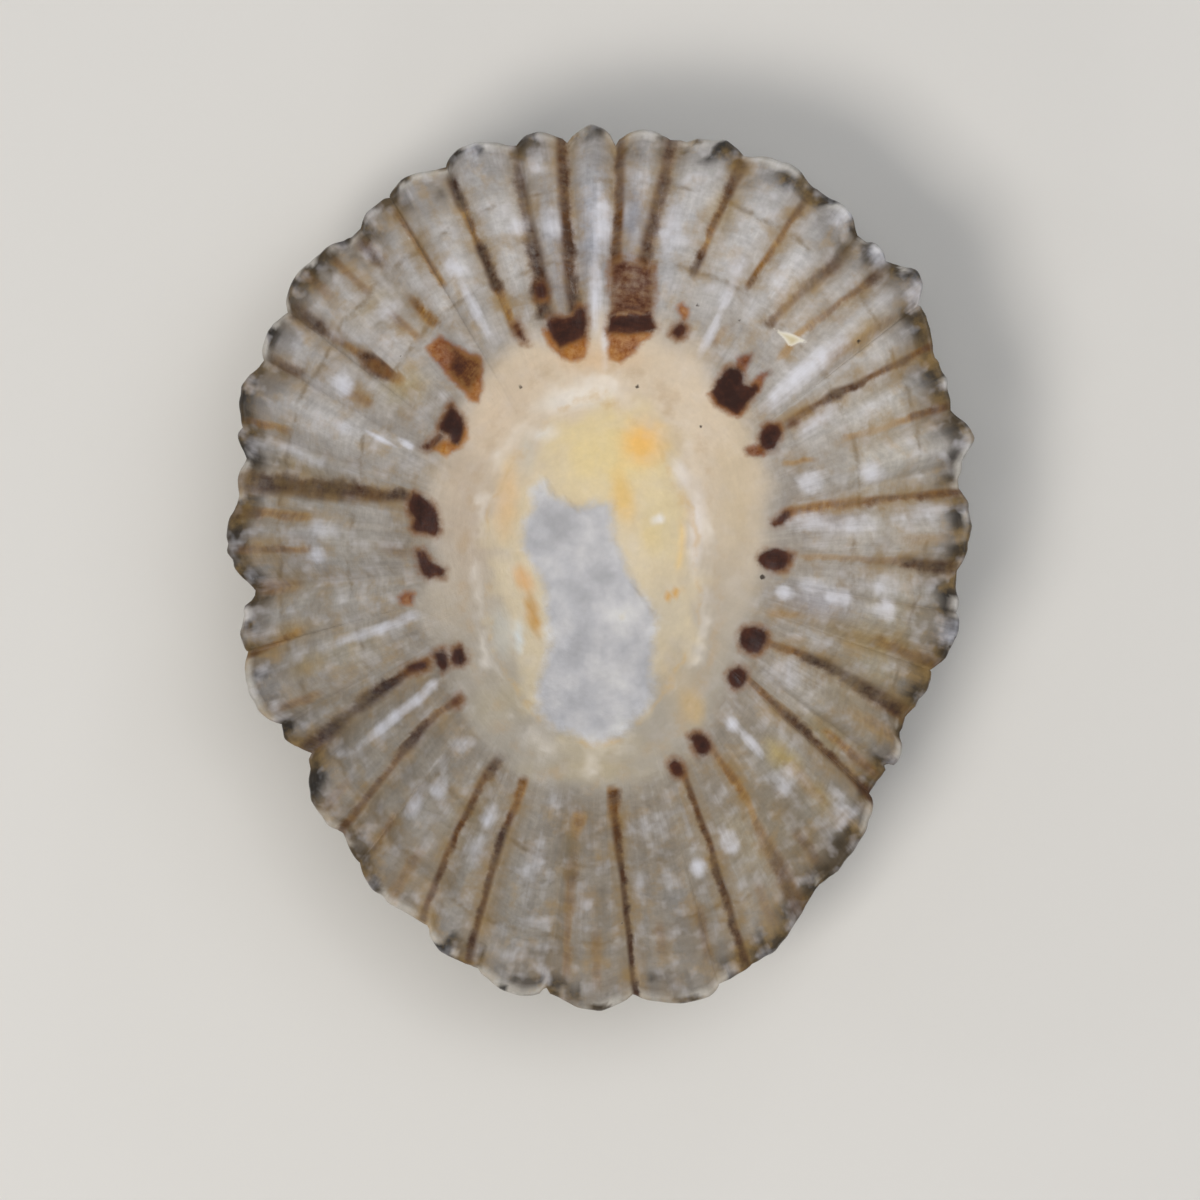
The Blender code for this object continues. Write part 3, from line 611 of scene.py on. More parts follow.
# The same for the middle of the hollow, over the cream inner layer
MIDDLE_WASHES = (
    Wash(-6.1, 1.8, 1.8, 5.5, 0.0, "#C3B29E", 0.75, 0.9),
    Wash(6.3, 2.5, 1.6, 5.0, 0.0, "#CDBB9C", 0.60, 0.9),
    Wash(-4.6, 6.6, 1.8, 3.2, 40.0, "#DBC7AE", 0.60, 0.9),
    Wash(-0.4, 8.9, 3.0, 1.0, 0.0, "#E0B98A", 0.50, 0.9),
    Wash(-0.36, -0.9, 5.2, 8.2, 0.0, "#DDCDAA", 0.70, 0.25),
    Wash(0.6, 4.6, 3.8, 3.0, 0.0, "#E2CE98", 0.85, 0.8),
    Wash(1.95, 5.1, 1.5, 1.5, 20.0, "#F0BD68", 0.90, 0.9),
    Wash(1.05, 2.6, 0.8, 2.0, -12.0, "#E3BE74", 0.80, 0.9),
    Wash(2.4, 1.0, 0.9, 1.2, 0.0, "#E0C684", 0.60, 0.9),
    Wash(-1.2, 7.1, 2.6, 0.75, -14.0, "#EEE8DE", 0.75, 0.8),
    Wash(-2.7, 5.5, 1.1, 0.45, -10.0, "#F0ECE4", 0.75, 0.9),
    Wash(-4.3, 2.4, 0.75, 2.4, 6.0, "#E2BF8D", 0.70, 0.8),
    Wash(-3.55, -1.2, 0.55, 1.1, -25.0, "#DFAF74", 0.85, 0.8),
    Wash(-3.1, -2.9, 0.42, 1.5, -14.0, "#C9963F", 0.90, 0.7),
    Wash(3.0, 1.6, 1.4, 2.8, 0.0, "#DFCFA4", 0.70, 0.8),
    Wash(3.0, -2.8, 1.3, 2.4, 0.0, "#BFB6A4", 0.55, 0.9),
    # the near-white washes at the right of the middle are pale shell with painted highlights on it
    Wash(2.72, 1.55, 0.42, 0.36, 0.0, "#F2F0EE", 0.85, 0.9),
    Wash(3.35, -1.9, 0.75, 0.22, -35.0, "#D09E4E", 0.85, 0.8),
    Wash(3.75, 0.4, 0.28, 2.3, 4.0, "#E9CB8E", 0.70, 0.8),
    Wash(4.45, 1.2, 0.55, 2.9, 3.0, "#E6DFDA", 0.80, 0.8),
    Wash(3.8, 3.6, 0.55, 1.3, -30.0, "#E9E2DC", 0.75, 0.9),
    Wash(-3.75, -3.9, 0.35, 1.15, -4.0, "#D6DCDA", 0.90, 0.8),
    Wash(-4.5, -3.6, 0.7, 1.9, -6.0, "#BEC0BC", 0.60, 0.8),
    Wash(-3.35, 4.6, 0.6, 1.5, 0.0, "#D3CDBE", 0.60, 0.8),
    Wash(-0.2, -8.9, 3.6, 1.4, 0.0, "#C8BA9B", 0.60, 0.9),
    Wash(3.6, -6.0, 1.4, 3.2, -20.0, "#C4B498", 0.65, 0.9),
    Wash(4.2, -7.0, 0.8, 1.2, -30.0, "#D0AE70", 0.55, 0.9),
    Wash(-4.4, -6.6, 1.6, 2.2, 30.0, "#BDB093", 0.55, 0.9),
    Wash(-0.3, -10.0, 4.2, 0.8, 0.0, "#C0B08C", 0.50, 0.9),
)

INNER_LAYER_EDGE = (
    # angle, distance from the apex at which the cream inner layer ends
    (0, 10.6), (20, 10.6), (40, 9.0), (60, 8.6), (80, 7.9), (92, 7.5), (118, 7.5), (132, 8.1),
    (150, 9.5), (160, 10.1), (177, 10.9), (198, 10.9), (206, 10.4), (222, 9.3), (235, 8.1),
    (255, 8.6), (265, 7.5), (280, 7.7), (300, 8.3), (310, 8.8), (325, 9.6), (340, 10.3), (352, 9.7),
)

GROWTH_LINES = (
    # angle, distance from the apex of the lines left by two pauses in growth
    ((0, 13.6), (30, 13.5), (45, 13.2), (60, 12.8), (78, 12.1), (95, 11.5), (112, 11.5), (130, 11.8),
     (145, 13.6), (160, 14.1), (178, 14.5), (188, 14.2), (197, 13.7), (210, 13.0), (220, 12.3),
     (238, 12.0), (256, 11.7), (270, 11.5), (286, 11.3), (300, 12.4), (312, 12.7), (330, 13.1)),
    ((0, 16.9), (20, 16.9), (45, 16.6), (80, 14.9), (110, 14.4), (140, 16.2), (180, 17.7), (200, 17.3),
     (230, 15.2), (270, 14.5), (300, 15.2), (330, 16.1)),
)


@dataclass
class InsideMarks:
    """What the shell's own marks are at each point of its mesh."""

    angle: np.ndarray
    distance: np.ndarray
    ray_start_fade: float = 0.35
    ray_end_fade: float = 0.5

    def off_centre(self, line: np.ndarray) -> np.ndarray:
        """Distance clockwise from a line whose angle is given at each point."""
        return ((self.angle - line + 180.0) % 360.0 - 180.0) * np.radians(1.0) * self.distance

    def places(self) -> np.ndarray:
        """Where each point is, in mm across and along."""
        turn = np.radians(self.angle)
        return np.stack((self.distance * np.sin(turn), self.distance * np.cos(turn)), axis=1)

    def by_angle(self, table: tuple) -> np.ndarray:
        """Looks a distance up round the shell.

        Args:
            table: rows of angle and distance.

        Returns:
            The distance at each point's angle.
        """
        rows = np.array(table, float)
        return np.interp(self.angle, rows[:, 0], rows[:, 1], period=360.0)

    def rays(self) -> dict[str, np.ndarray]:
        """Finds the nearest ray to each point.

        Every other ray's offset is turned round, so that it runs smoothly from ray to ray.

        Returns:
            The offset from the ray's middle, its width, strength and tone there.
        """
        nearest = np.full(len(self.angle), np.inf)
        found = {name: np.zeros(len(self.angle)) for name in ("offset", "width", "ink", "tone")}
        for index, ray in enumerate(RAYS):
            rows = np.array(ray).T
            line, width, ink, tone = (np.interp(self.distance, rows[0], row) for row in rows[1:])
            start, end = rows[0, 0], rows[0, -1]
            ends = smooth(start - self.ray_start_fade, start, self.distance)
            ends *= 1.0 - smooth(end, end + self.ray_end_fade, self.distance)
            offset = self.off_centre(line)
            closer = np.abs(offset) < nearest
            nearest = np.where(closer, np.abs(offset), nearest)
            turned = offset if index % 2 else -offset
            for name, value in zip(found, (turned, width, ink * ends, tone)):
                found[name] = np.where(closer, value, found[name])
        return {f"ray_{name}": value for name, value in found.items()}

    def blots(self) -> dict[str, np.ndarray]:
        """Measures how deep inside a blot of each pigment every point is.

        Returns:
            The depth in mm, below 0 outside every blot, and the tone of the nearest one.
        """
        found = {}
        for pigment in Pigment:
            depth = np.full(len(self.angle), -np.inf)
            tone = np.zeros(len(self.angle))
            for blot in BLOTS:
                if blot.pigment is pigment:
                    inside = self.patch(blot.outline)
                    tone = np.where(inside > depth, blot.tone, tone)
                    depth = np.maximum(depth, inside)
            found[f"{pigment.value}_depth"], found[f"{pigment.value}_tone"] = depth, tone
        return found

    def specks(self) -> np.ndarray:
        """Measures how deep inside a speck of grit each point is.

        Returns:
            The depth in mm, below 0 outside.
        """
        places = self.places()
        depths = (radius - np.hypot(places[:, 0] - x, places[:, 1] - y) for x, y, radius in SPECKS)
        return np.max(list(depths), axis=0)

    def milk_and_highlight(self) -> np.ndarray:
        """Finds how milky the inside is, and where highlights are painted on.

        Returns:
            A share for each point, from 0 to 1.
        """
        found = np.zeros(len(self.angle))
        for angle, distance, half_length, half_width, strength in MILK_AND_HIGHLIGHTS:
            across = self.off_centre(np.full(len(self.angle), angle)) / half_width
            away = np.hypot(across, (self.distance - distance) / half_length)
            found = np.maximum(found, strength * (1.0 - smooth(0.0, 2.0, away)))
        return found

    def growth_gap(self) -> np.ndarray:
        """Measures how far out from the nearest growth line each point is.

        The distance from the outer line is turned round, so that it runs smoothly from line to line.

        Returns:
            The distance in mm.
        """
        inner, outer = (self.distance - self.by_angle(line) for line in GROWTH_LINES)
        return np.where(np.abs(inner) < np.abs(outer), inner, -outer)

    def patch(self, outline: tuple) -> np.ndarray:
        """Measures how deep inside a closed outline each point is.

        Args:
            outline: corners of the patch in mm, in order.

        Returns:
            The depth in mm, below 0 outside.
        """
        place = self.places()
        corners = np.array(outline)
        gap = np.full(len(place), np.inf)
        inside = np.zeros(len(place), bool)
        for start, end in zip(corners, np.roll(corners, -1, axis=0)):
            side = end - start
            along = np.clip((place - start) @ side / (side @ side), 0.0, 1.0)
            gap = np.minimum(gap, np.linalg.norm(place - start - along[:, None] * side, axis=1))
            if side[1]:
                spans = (start[1] > place[:, 1]) != (end[1] > place[:, 1])
                crossing = start[0] + (place[:, 1] - start[1]) * side[0] / side[1]
                inside ^= spans & (place[:, 0] < crossing)
        return np.where(inside, gap, -gap)


@dataclass
class ShellMesh:
    """The shell's surface, as rings of points from the middle of the hollow out and back under."""

    form: ShellForm
    inner_rings: int = 22  # with half the columns, out to the share below
    close_rings: int = 64
    lip_rings: int = 6
    under_rings: int = 46
    last_rings: int = 16
    coarse_share: float = 0.36
    under_coarse_share: float = 0.42
    lip_share: float = 0.982

    def rings(self) -> list[tuple[float, float, bool]]:
        """Lists the rings in order.

        Returns:
            For each ring its share of the way out, how far inward it is and whether it is fine.
        """
        middle = np.linspace(0.0, self.coarse_share, self.inner_rings + 1)[1:]
        close = np.linspace(self.coarse_share, self.lip_share, self.close_rings + 1)[1:]
        turn = np.linspace(0.0, math.pi, self.lip_rings + 2)[1:-1]
        under = np.linspace(self.lip_share, self.under_coarse_share, self.under_rings)
        last = np.linspace(self.under_coarse_share, 0.0, self.last_rings + 1)[1:-1]
        found = [(share, 1.0, False) for share in middle]
        found += [(share, 1.0, True) for share in close]
        bulge = 1.0 - self.lip_share
        found += [(self.lip_share + bulge * math.sin(t), (1.0 + math.cos(t)) / 2, True) for t in turn]
        found += [(share, 0.0, True) for share in under]
        return found + [(share, 0.0, False) for share in last]

    def surface(self) -> tuple[dict[str, np.ndarray], list[tuple[int, ...]], list[int]]:
        """Joins the rings into one closed skin.

        Returns:
            What is known of each point, the faces, and the side of the wall each face is on.
        """
        fine = self.form.columns()
        coarse = fine.halved()
        known = {name: [] for name in ("place", "share", "inward", "angle", "crest")}
        faces: list[tuple[int, ...]] = []
        sides: list[int] = []
        first, before, start = 0, None, 0
        middle, tip = (0.0, 1.0, fine.first()), (0.0, 0.0, fine.first())
        rings = [(share, inward, fine if is_fine else coarse) for share, inward, is_fine in self.rings()]
        for share, inward, columns in (middle, *rings, tip):
            count = len(columns.angle)
            shares, inwards = np.full(count, share), np.full(count, inward)
            place = self.form.points(shares, inwards, columns)
            for name, value in zip(known, (place, shares, inwards, columns.angle, columns.crest)):
                known[name].append(value)
            if before is not None:
                side = Side.INSIDE if inward > 0.5 else Side.OUTSIDE
                ring = self.strip(first, before, start, count)
                faces += ring
                sides += [side.value] * len(ring)
            first, before = start, count
            start += count
        return {name: np.concatenate(value) for name, value in known.items()}, faces, sides

    def strip(self, first: int, before: int, start: int, count: int) -> list[tuple[int, ...]]:
        """Faces between one ring and the next.

        Args:
            first: index of the earlier ring's first point.
            before: how many points it has, 1 for the middle of the hollow.
            start: index of the later ring's first point.
            count: how many points that has, 1 for the middle of the apex.

        Returns:
            The faces, facing out of the shell's wall.
        """
        if before == 1:
            return [(first, start + (j + 1) % count, start + j) for j in range(count)]
        if count == 1:
            return [(first + j, first + (j + 1) % before, start) for j in range(before)]
        if before == count:
            nexts = [(j + 1) % count for j in range(count)]
            return [(first + j, first + k, start + k, start + j) for j, k in enumerate(nexts)]
        if before < count:
            return [
                (first + j, first + (j + 1) % before, start + (2 * j + 2) % count, start + 2 * j + 1,
                 start + 2 * j)
                for j in range(before)
            ]
        return [
            (first + 2 * j, first + 2 * j + 1, first + (2 * j + 2) % before, start + (j + 1) % count,
             start + j)
            for j in range(count)
        ]


# The outline of the patch of blue-grey callus over the old apex, in mm across and along
CALLUS = (
    (-3.10, 2.90), (-2.60, 3.45), (-2.14, 2.70), (-1.00, 2.15), (-0.28, 2.45), (0.51, 2.41),
    (0.77, 0.47), (1.48, -0.94), (2.19, -2.17), (2.63, -2.70), (2.54, -4.11), (2.45, -6.76),
    (1.48, -8.17), (-0.11, -8.79), (-1.87, -8.35), (-2.93, -7.29), (-2.95, -5.90), (-2.60, -5.10),
    (-2.40, -3.76), (-2.58, -2.35), (-2.93, -0.94), (-3.55, 0.12), (-3.64, 1.18), (-3.25, 2.00),
)

# Chips out of the margin: angle, half-width in degrees and depth
CHIPS = (
    (2.1, 0.5, 0.20), (12.4, 1.0, 0.10), (40.6, 0.9, 0.12), (121.5, 1.0, 0.12), (126.6, 0.6, 0.20),
    (148.2, 0.5, 0.14), (175.8, 0.5, 0.12), (187.2, 0.6, 0.16), (196.4, 0.7, 0.12), (204.6, 0.5, 0.14),
    (235.0, 0.4, 0.14), (262.4, 0.9, 0.14), (355.3, 0.5, 0.12),
)


@dataclass
class GrowthAndWear:
    """What growth and wear add to the main form, as distances in mm."""

    known: dict[str, np.ndarray]
    marks: InsideMarks
    ledge_gap: float = 1.35
    ledge_height: float = 0.13
    riblet_height: float = 0.10
    callus_height: float = 0.12
    inner_layer_step: float = 0.05
    growth_step: float = 0.035

    def round_shell(self, radius: float, along: float) -> np.ndarray:
        """Finds places for patterns that run out along the ribs.

        Args:
            radius: of the circle that the shell is laid round, in mm.
            along: how far a pattern moves on with each millimetre out along a rib.

        Returns:
            Places in mm, one row for each point.
        """
        turn = np.radians(self.known["angle"])
        ring = self.known["share"] * RIM_CIRCLE
        return np.stack((radius * np.cos(turn), radius * np.sin(turn), along * ring), axis=1)

    def depths(self) -> dict[str, np.ndarray]:
        """Measures how deep inside each area of the hollow's middle every point is.

        Returns:
            Depths in mm by the area's name, and the distance out from a growth line.
        """
        place = self.known["place"]
        oval = 1.0 - np.hypot((place[:, 0] + 0.36) / 5.0, (place[:, 1] + 0.9) / 8.0)
        return {
            "cream_depth": self.marks.by_angle(INNER_LAYER_EDGE) - self.marks.distance,
            "oval_depth": 6.0 * oval,
            "callus_depth": self.marks.patch(CALLUS),
            "flake_depth": self.marks.patch(FLAKE),
            "speck_depth": self.marks.specks(),
            "milk_and_highlight": self.marks.milk_and_highlight(),
            "growth_gap": self.marks.growth_gap(),
        }

    def inside_lift(self, depths: dict[str, np.ndarray]) -> np.ndarray:
        """Raises the inside where it was added to, and waves it a little.

        Args:
            depths: what depths() gives.

        Returns:
            How far each point rises.
        """
        place, share = self.known["place"], self.known["share"]
        banded = smooth(0.35, 0.60, share)
        waves = 0.040 * Lumps(1).at(place, 1.7) + 0.022 * Lumps(2).at(place, 0.75)
        flutes = 0.030 * Lumps(7).at(self.round_shell(RIM_CIRCLE, 0.25), 0.9) * banded
        ring = share * RIM_CIRCLE + 0.6 * Lumps(3).at(place, 5.0)
        ripples = 0.014 * np.sin(ring * math.tau / 1.15) * banded
        pause = self.growth_step * np.exp(-((depths["growth_gap"] / 0.22) ** 2))
        cream = smooth(-0.25, 0.25, depths["cream_depth"] + 0.35 * Lumps(4).at(place, 1.2))
        oval = smooth(-0.2, 0.6, depths["oval_depth"] + 0.4 * Lumps(8).at(place, 1.5))
        callus = smooth(-0.1, 0.25, depths["callus_depth"] + 0.45 * Lumps(5).at(place, 0.8))
        layers = self.inner_layer_step * (cream - oval) + self.callus_height * callus
        lift = waves + flutes + ripples + pause + layers + 0.05 * callus * Lumps(6).at(place, 0.9)
        return lift * self.known["inward"] * (1.0 - 0.6 * smooth(0.93, 1.0, share))

    def outside_drop(self) -> np.ndarray:
        """Lowers the outside by its riblets and growth ledges.

        Returns:
            How far each point drops.
        """
        place, share, crest = self.known["place"], self.known["share"], self.known["crest"]
        riblets = self.riblet_height * (0.5 + 0.5 * Lumps(11).at(self.round_shell(RIM_CIRCLE, 0.1), 0.95))
        ring = share * RIM_CIRCLE
        stage = (ring + 0.55 * Lumps(12).at(self.round_shell(9.0, 0.6), 2.6) + 0.25 * crest) / self.ledge_gap
        ledge = self.ledge_height * (stage - np.floor(stage)) ** 2 * (0.5 + 0.5 * crest)
        knobs = 0.10 * crest * Lumps(13).at(place, 0.9)
        worn = smooth(0.30, 0.65, share)
        pits = 0.05 * Lumps(14).at(place, 0.7) * (1.0 - worn)
        off_flat = smooth(0.14, 0.26, share) * (1.0 - self.known["inward"])
        return ((riblets + ledge + knobs) * worn + pits) * off_flat

    def margin_push(self) -> np.ndarray:
        """Moves the margin in and out by its small scallops and chips.

        Returns:
            How far each point moves outwards.
        """
        rim = self.round_shell(RIM_CIRCLE, 0.0)
        push = 0.10 * Lumps(21).at(rim, 0.9) + 0.07 * Lumps(22).at(rim, 0.4)
        for place, half_width, depth in CHIPS:
            away = np.abs((self.known["angle"] - place + 180.0) % 360.0 - 180.0) / half_width
            push -= depth * (1.0 - smooth(0.35, 1.0, away))
        return push * smooth(0.90, 0.985, self.known["share"])


@dataclass
class ShellColours:
    """The soft colours of the shell at each point of its mesh, before the finer marks."""

    known: dict[str, np.ndarray]

    @staticmethod
    def blend(under: np.ndarray, colour: str, amount: np.ndarray) -> np.ndarray:
        """Lays a colour over those before it."""
        over = np.array(linear(colour)[:3])
        return under + (over - under) * amount[:, None]

    def plain(self, colour: str) -> np.ndarray:
        """One colour at every point."""
        return np.tile(linear(colour)[:3], (len(self.known["share"]), 1))

    def wash(self, under: np.ndarray, area: Wash) -> np.ndarray:
        """Lays one soft area of colour over those before it.

        Args:
            under: linear colours, one row for each point.
            area: the soft area.

        Returns:
            The colours with the area.
        """
        place, turn = self.known["place"], math.radians(area.turn)
        x, y = place[:, 0] - area.x, place[:, 1] - area.y
        across = x * math.cos(turn) - y * math.sin(turn)
        along = x * math.sin(turn) + y * math.cos(turn)
        away = np.hypot(across / area.half_x, along / area.half_y)
        away += 0.14 * Lumps(31).at(place, 1.1) + 0.10 * Lumps(33).at(place, 0.45)
        return self.blend(under, area.colour, area.strength * (1.0 - smooth(1.0 - area.edge, 1.0, away)))

    def inside(self, depths: dict[str, np.ndarray]) -> np.ndarray:
        """Colours the inside.

        Args:
            depths: how deep inside each area of the hollow's middle every point is.

        Returns:
            Linear colours, one row each.
        """
        place, share, crest = self.known["place"], self.known["share"], self.known["crest"]
        # painted light and shade: the inside starts lighter at the top and darker at the bottom
        colour = self.blend(self.plain("#A0998E"), "#C0BDBA", smooth(-16.0, 14.0, place[:, 1]))
        for area in WASHES:
            colour = self.wash(colour, area)
        near_cream = smooth(0.38, 0.48, share) * (1.0 - smooth(0.52, 0.74, share))
        colour = self.blend(colour, "#7D7160", 0.42 * near_cream)
        # painted shade: brownish darkening along the furrow lines near the margin
        furrow = (1.0 - crest) ** 2 * smooth(0.62, 0.95, share)
        colour = self.blend(colour, "#8B7A5E", 0.45 * furrow)
        sideways = np.abs(place[:, 0]) / np.maximum(np.hypot(place[:, 0], place[:, 1]), 1.0)
        shade = smooth(0.84, 0.97, share + 0.02 * Lumps(34).at(place, 1.3))
        colour = self.blend(colour, "#5F5953", (0.50 + 0.30 * smooth(0.4, 0.9, sideways)) * shade)
        # near-black patches along the margin, more of them at the left and right sides
        rim_darkening = Lumps(35).at(place, 1.5) + 0.8 * Lumps(36).at(place, 0.55) + 0.6 * sideways
        reach = smooth(0.915, 0.980, share + 0.022 * Lumps(37).at(place, 0.6))
        colour = self.blend(colour, "#1E1913", 0.95 * smooth(0.10, 0.50, rim_darkening) * reach)
        thin_edge = smooth(0.972, 0.990, share) * (1.0 - smooth(0.0, 0.4, rim_darkening))
        colour = self.blend(colour, "#CFCBC2", 0.55 * thin_edge)
        ragged = depths["cream_depth"] + 0.5 * Lumps(32).at(place, 1.6)
        cream = smooth(-1.1, 0.9, ragged)
        creamy = self.blend(self.plain("#B0A89A"), "#D9C8B0", smooth(-8.0, 7.0, place[:, 1]))
        colour += (creamy - colour) * (0.95 * cream)[:, None]
        for area in MIDDLE_WASHES:
            colour = self.wash(colour, area)
        return colour

    def outside(self) -> np.ndarray:
        """Colours the outside.

        Returns:
            Linear colours, one row each.
        """
        share, crest, place = self.known["share"], self.known["crest"], self.known["place"]
        patchy = np.clip(crest + 0.35 * Lumps(41).at(place, 2.2), 0.0, 1.0)
        colour = self.blend(self.plain("#4E3F2D"), "#AD9F84", 0.90 * smooth(0.30, 0.98, patchy))
        colour = self.blend(colour, "#66664A", 0.55 * smooth(0.0, 0.9, Lumps(42).at(place, 4.5)))
        colour = self.blend(colour, "#4F4434", 0.50 * smooth(0.88, 1.0, share))
        worn = share + 0.10 * Lumps(43).at(place, 2.0)
        return self.blend(colour, "#C9BFAB", 0.85 * (1.0 - smooth(0.22, 0.50, worn)))


Sockets = dict[str, bpy.types.NodeSocket]


def add(
    tree: bpy.types.NodeTree,
    kind: str,
    inputs: dict | None = None,
    give: int | str = 0,
    stops: dict[float, str] | None = None,
    **settings: Any,
) -> bpy.types.NodeSocket:
    """Adds a node to a material, with its settings and links.

    Args:
        tree: the material's nodes.
        kind: the node's type, without the word ShaderNode before it.
        inputs: what goes into its sockets, by name or place: a value, or another node's output.
        give: which of its outputs to return, by name or place.
        stops: sRGB hex colours by place, for a node that turns a value into a colour.
        settings: the node's own settings.

    Returns:
        The output named by give.
    """
    made = tree.nodes.new(f"ShaderNode{kind}")
    for name, value in settings.items():
        setattr(made, name, value)
    for key, value in (inputs or {}).items():
        if isinstance(value, bpy.types.NodeSocket):
            tree.links.new(value, made.inputs[key])
        else:
            made.inputs[key].default_value = value
    if stops:
        elements = made.color_ramp.elements
        while len(elements) < len(stops):
            elements.new(0.5)
        for element, (place, colour) in zip(elements, sorted(stops.items())):
            element.position, element.color = place, linear(colour)
    return made.outputs[give]


def wavered(tree: bpy.types.NodeTree, value: bpy.types.NodeSocket, noises: tuple) -> bpy.types.NodeSocket:
    """Moves a value up and down, such as a distance, to make an edge ragged.

    Args:
        tree: the material's nodes.
        value: what is moved.
        noises: patterns between 0 and 1, and how far each moves the value.

    Returns:
        The value moved.
    """
    for noise, amount in noises:
        centred = add(tree, "Math", {0: noise, 1: 0.5}, operation="SUBTRACT")
        value = add(tree, "Math", {0: centred, 1: amount, 2: value}, operation="MULTIPLY_ADD")
    return value


def product(tree: bpy.types.NodeTree, values: tuple) -> bpy.types.NodeSocket:
    """Multiplies several values, held between 0 and 1, for how much of a colour is laid on.

    Args:
        tree: the material's nodes.
        values: outputs or plain numbers.

    Returns:
        The product.
    """
    found = values[0]
    for value in values[1:]:
        found = add(tree, "Math", {0: found, 1: value}, operation="MULTIPLY", use_clamp=True)
    return found


def levels(tree: bpy.types.NodeTree, noise: Sockets, ranges: tuple) -> bpy.types.NodeSocket:
    """Finds how much the patterns lighten or darken the colour together.

    Args:
        tree: the material's nodes.
        noise: the patterns by name.
        ranges: each pattern's name, and what it multiplies by where it is low and high.

    Returns:
        The factor.
    """
    light = 1.0
    for name, low, high in ranges:
        level = add(tree, "MapRange", {0: noise[name], 1: 0.25, 2: 0.75, 3: low, 4: high})
        light = add(tree, "Math", {0: light, 1: level}, operation="MULTIPLY")
    return light


def relief(tree: bpy.types.NodeTree, parts: list) -> bpy.types.NodeSocket:
    """Turns patterns into fine relief of the surface.

    Args:
        tree: the material's nodes.
        parts: patterns, and how high each stands in mm.

    Returns:
        The normal.
    """
    height = 0.0
    for source, amount in parts:
        height = add(tree, "Math", {0: source, 1: amount, 2: height}, operation="MULTIPLY_ADD")
    return add(tree, "Bump", {"Height": height, "Distance": MM, "Strength": 1.0})


@dataclass(frozen=True)
class Pattern:
    """A natural pattern of the shell, with the true size of what repeats in it."""

    way: str  # which of the shell's own directions it is drawn out along
    size: float  # mm
    detail: float
    roughness: float


@dataclass(frozen=True)
class Grain:
    """The patterns of one layer of the shell.

    Real growth lines and crystal fibres are 0.01 to 0.1 mm across. They are drawn two to five
    times as coarse, so that they still show when the whole shell is in view.
    """

    patterns: dict[str, Pattern]
    rib_stretch: float = 0.16  # places along a rib are drawn closer by this, which draws streaks out
    ring_spread: float = 1.6  # mm round the shell in which a growth band changes, near enough all round
    streaks_from: float = 5.5  # mm from the apex; nearer to it streaks would crowd together
    streaks_full: float = 10.5
    second_start: tuple = (31.7, 12.9, 5.3)  # mm, far enough off for a second pattern like no first

    def laid(self, tree: bpy.types.NodeTree) -> Sockets:
        """Lays the patterns out over the shell.

        Args:
            tree: the material's nodes.

        Returns:
            The patterns by name, each between 0 and 1.
        """
        world = add(tree, "TexCoord", give="Object")
        place = add(tree, "VectorMath", {0: world, "Scale": 1.0 / MM}, operation="SCALE")
        flat = add(tree, "VectorMath", {0: place, 1: (1.0, 1.0, 0.0)}, operation="MULTIPLY")
        heading = add(tree, "VectorMath", {0: flat}, operation="NORMALIZE")
        ring = add(tree, "Attribute", give="Fac", attribute_name="ring")
        outward = add(tree, "CombineXYZ", {2: ring})
        drawn_out = add(tree, "VectorMath", {0: outward, "Scale": self.rib_stretch}, operation="SCALE")
        spread = (self.ring_spread, self.ring_spread, 0.0)
        ways = {
            "any": place,
            "any_too": add(tree, "VectorMath", {0: place, 1: self.second_start}, operation="ADD"),
            "rib": add(
                tree, "VectorMath", {0: heading, 1: (RIM_CIRCLE, RIM_CIRCLE, 0.0), 2: drawn_out},
                operation="MULTIPLY_ADD",
            ),
            "ring": add(tree, "VectorMath", {0: heading, 1: spread, 2: outward}, operation="MULTIPLY_ADD"),
        }
        clear = add(
            tree, "MapRange", {0: ring, 1: self.streaks_from, 2: self.streaks_full},
            interpolation_type="SMOOTHSTEP",
        )
        found = {}
        for name, plan in self.patterns.items():
            spec = {"Vector": ways[plan.way], "Scale": 1.0 / plan.size, "Detail": plan.detail,
                    "Roughness": plan.roughness}
            found[name] = add(tree, "TexNoise", spec)
            if plan.way == "rib":
                centred = add(tree, "Math", {0: found[name], 1: 0.5}, operation="SUBTRACT")
                found[name] = add(
                    tree, "Math", {0: centred, 1: clear, 2: 0.5}, operation="MULTIPLY_ADD"
                )
        return found


# Pigment of the rays, and of the thin and thick parts of the blots, from its palest to its darkest
RAY_TONES = {0.0: "#A88142", 0.2: "#896028", 0.5: "#5F3E1E", 0.75: "#49301E", 1.0: "#38251A"}
RUST_TONES = {0.0: "#BF8A35", 0.35: "#A46612", 0.65: "#7E4008", 1.0: "#502406"}
DARK_TONES = {0.0: "#7E5A30", 0.3: "#61391C", 0.6: "#472618", 1.0: "#311A12"}
# Blue-grey callus, with cream at its thinnest places
CALLUS_TONES = {0.34: "#A9AAAF", 0.46: "#B6B7BC", 0.56: "#C3C3C6", 0.66: "#CECECE", 0.76: "#CAC3B0"}


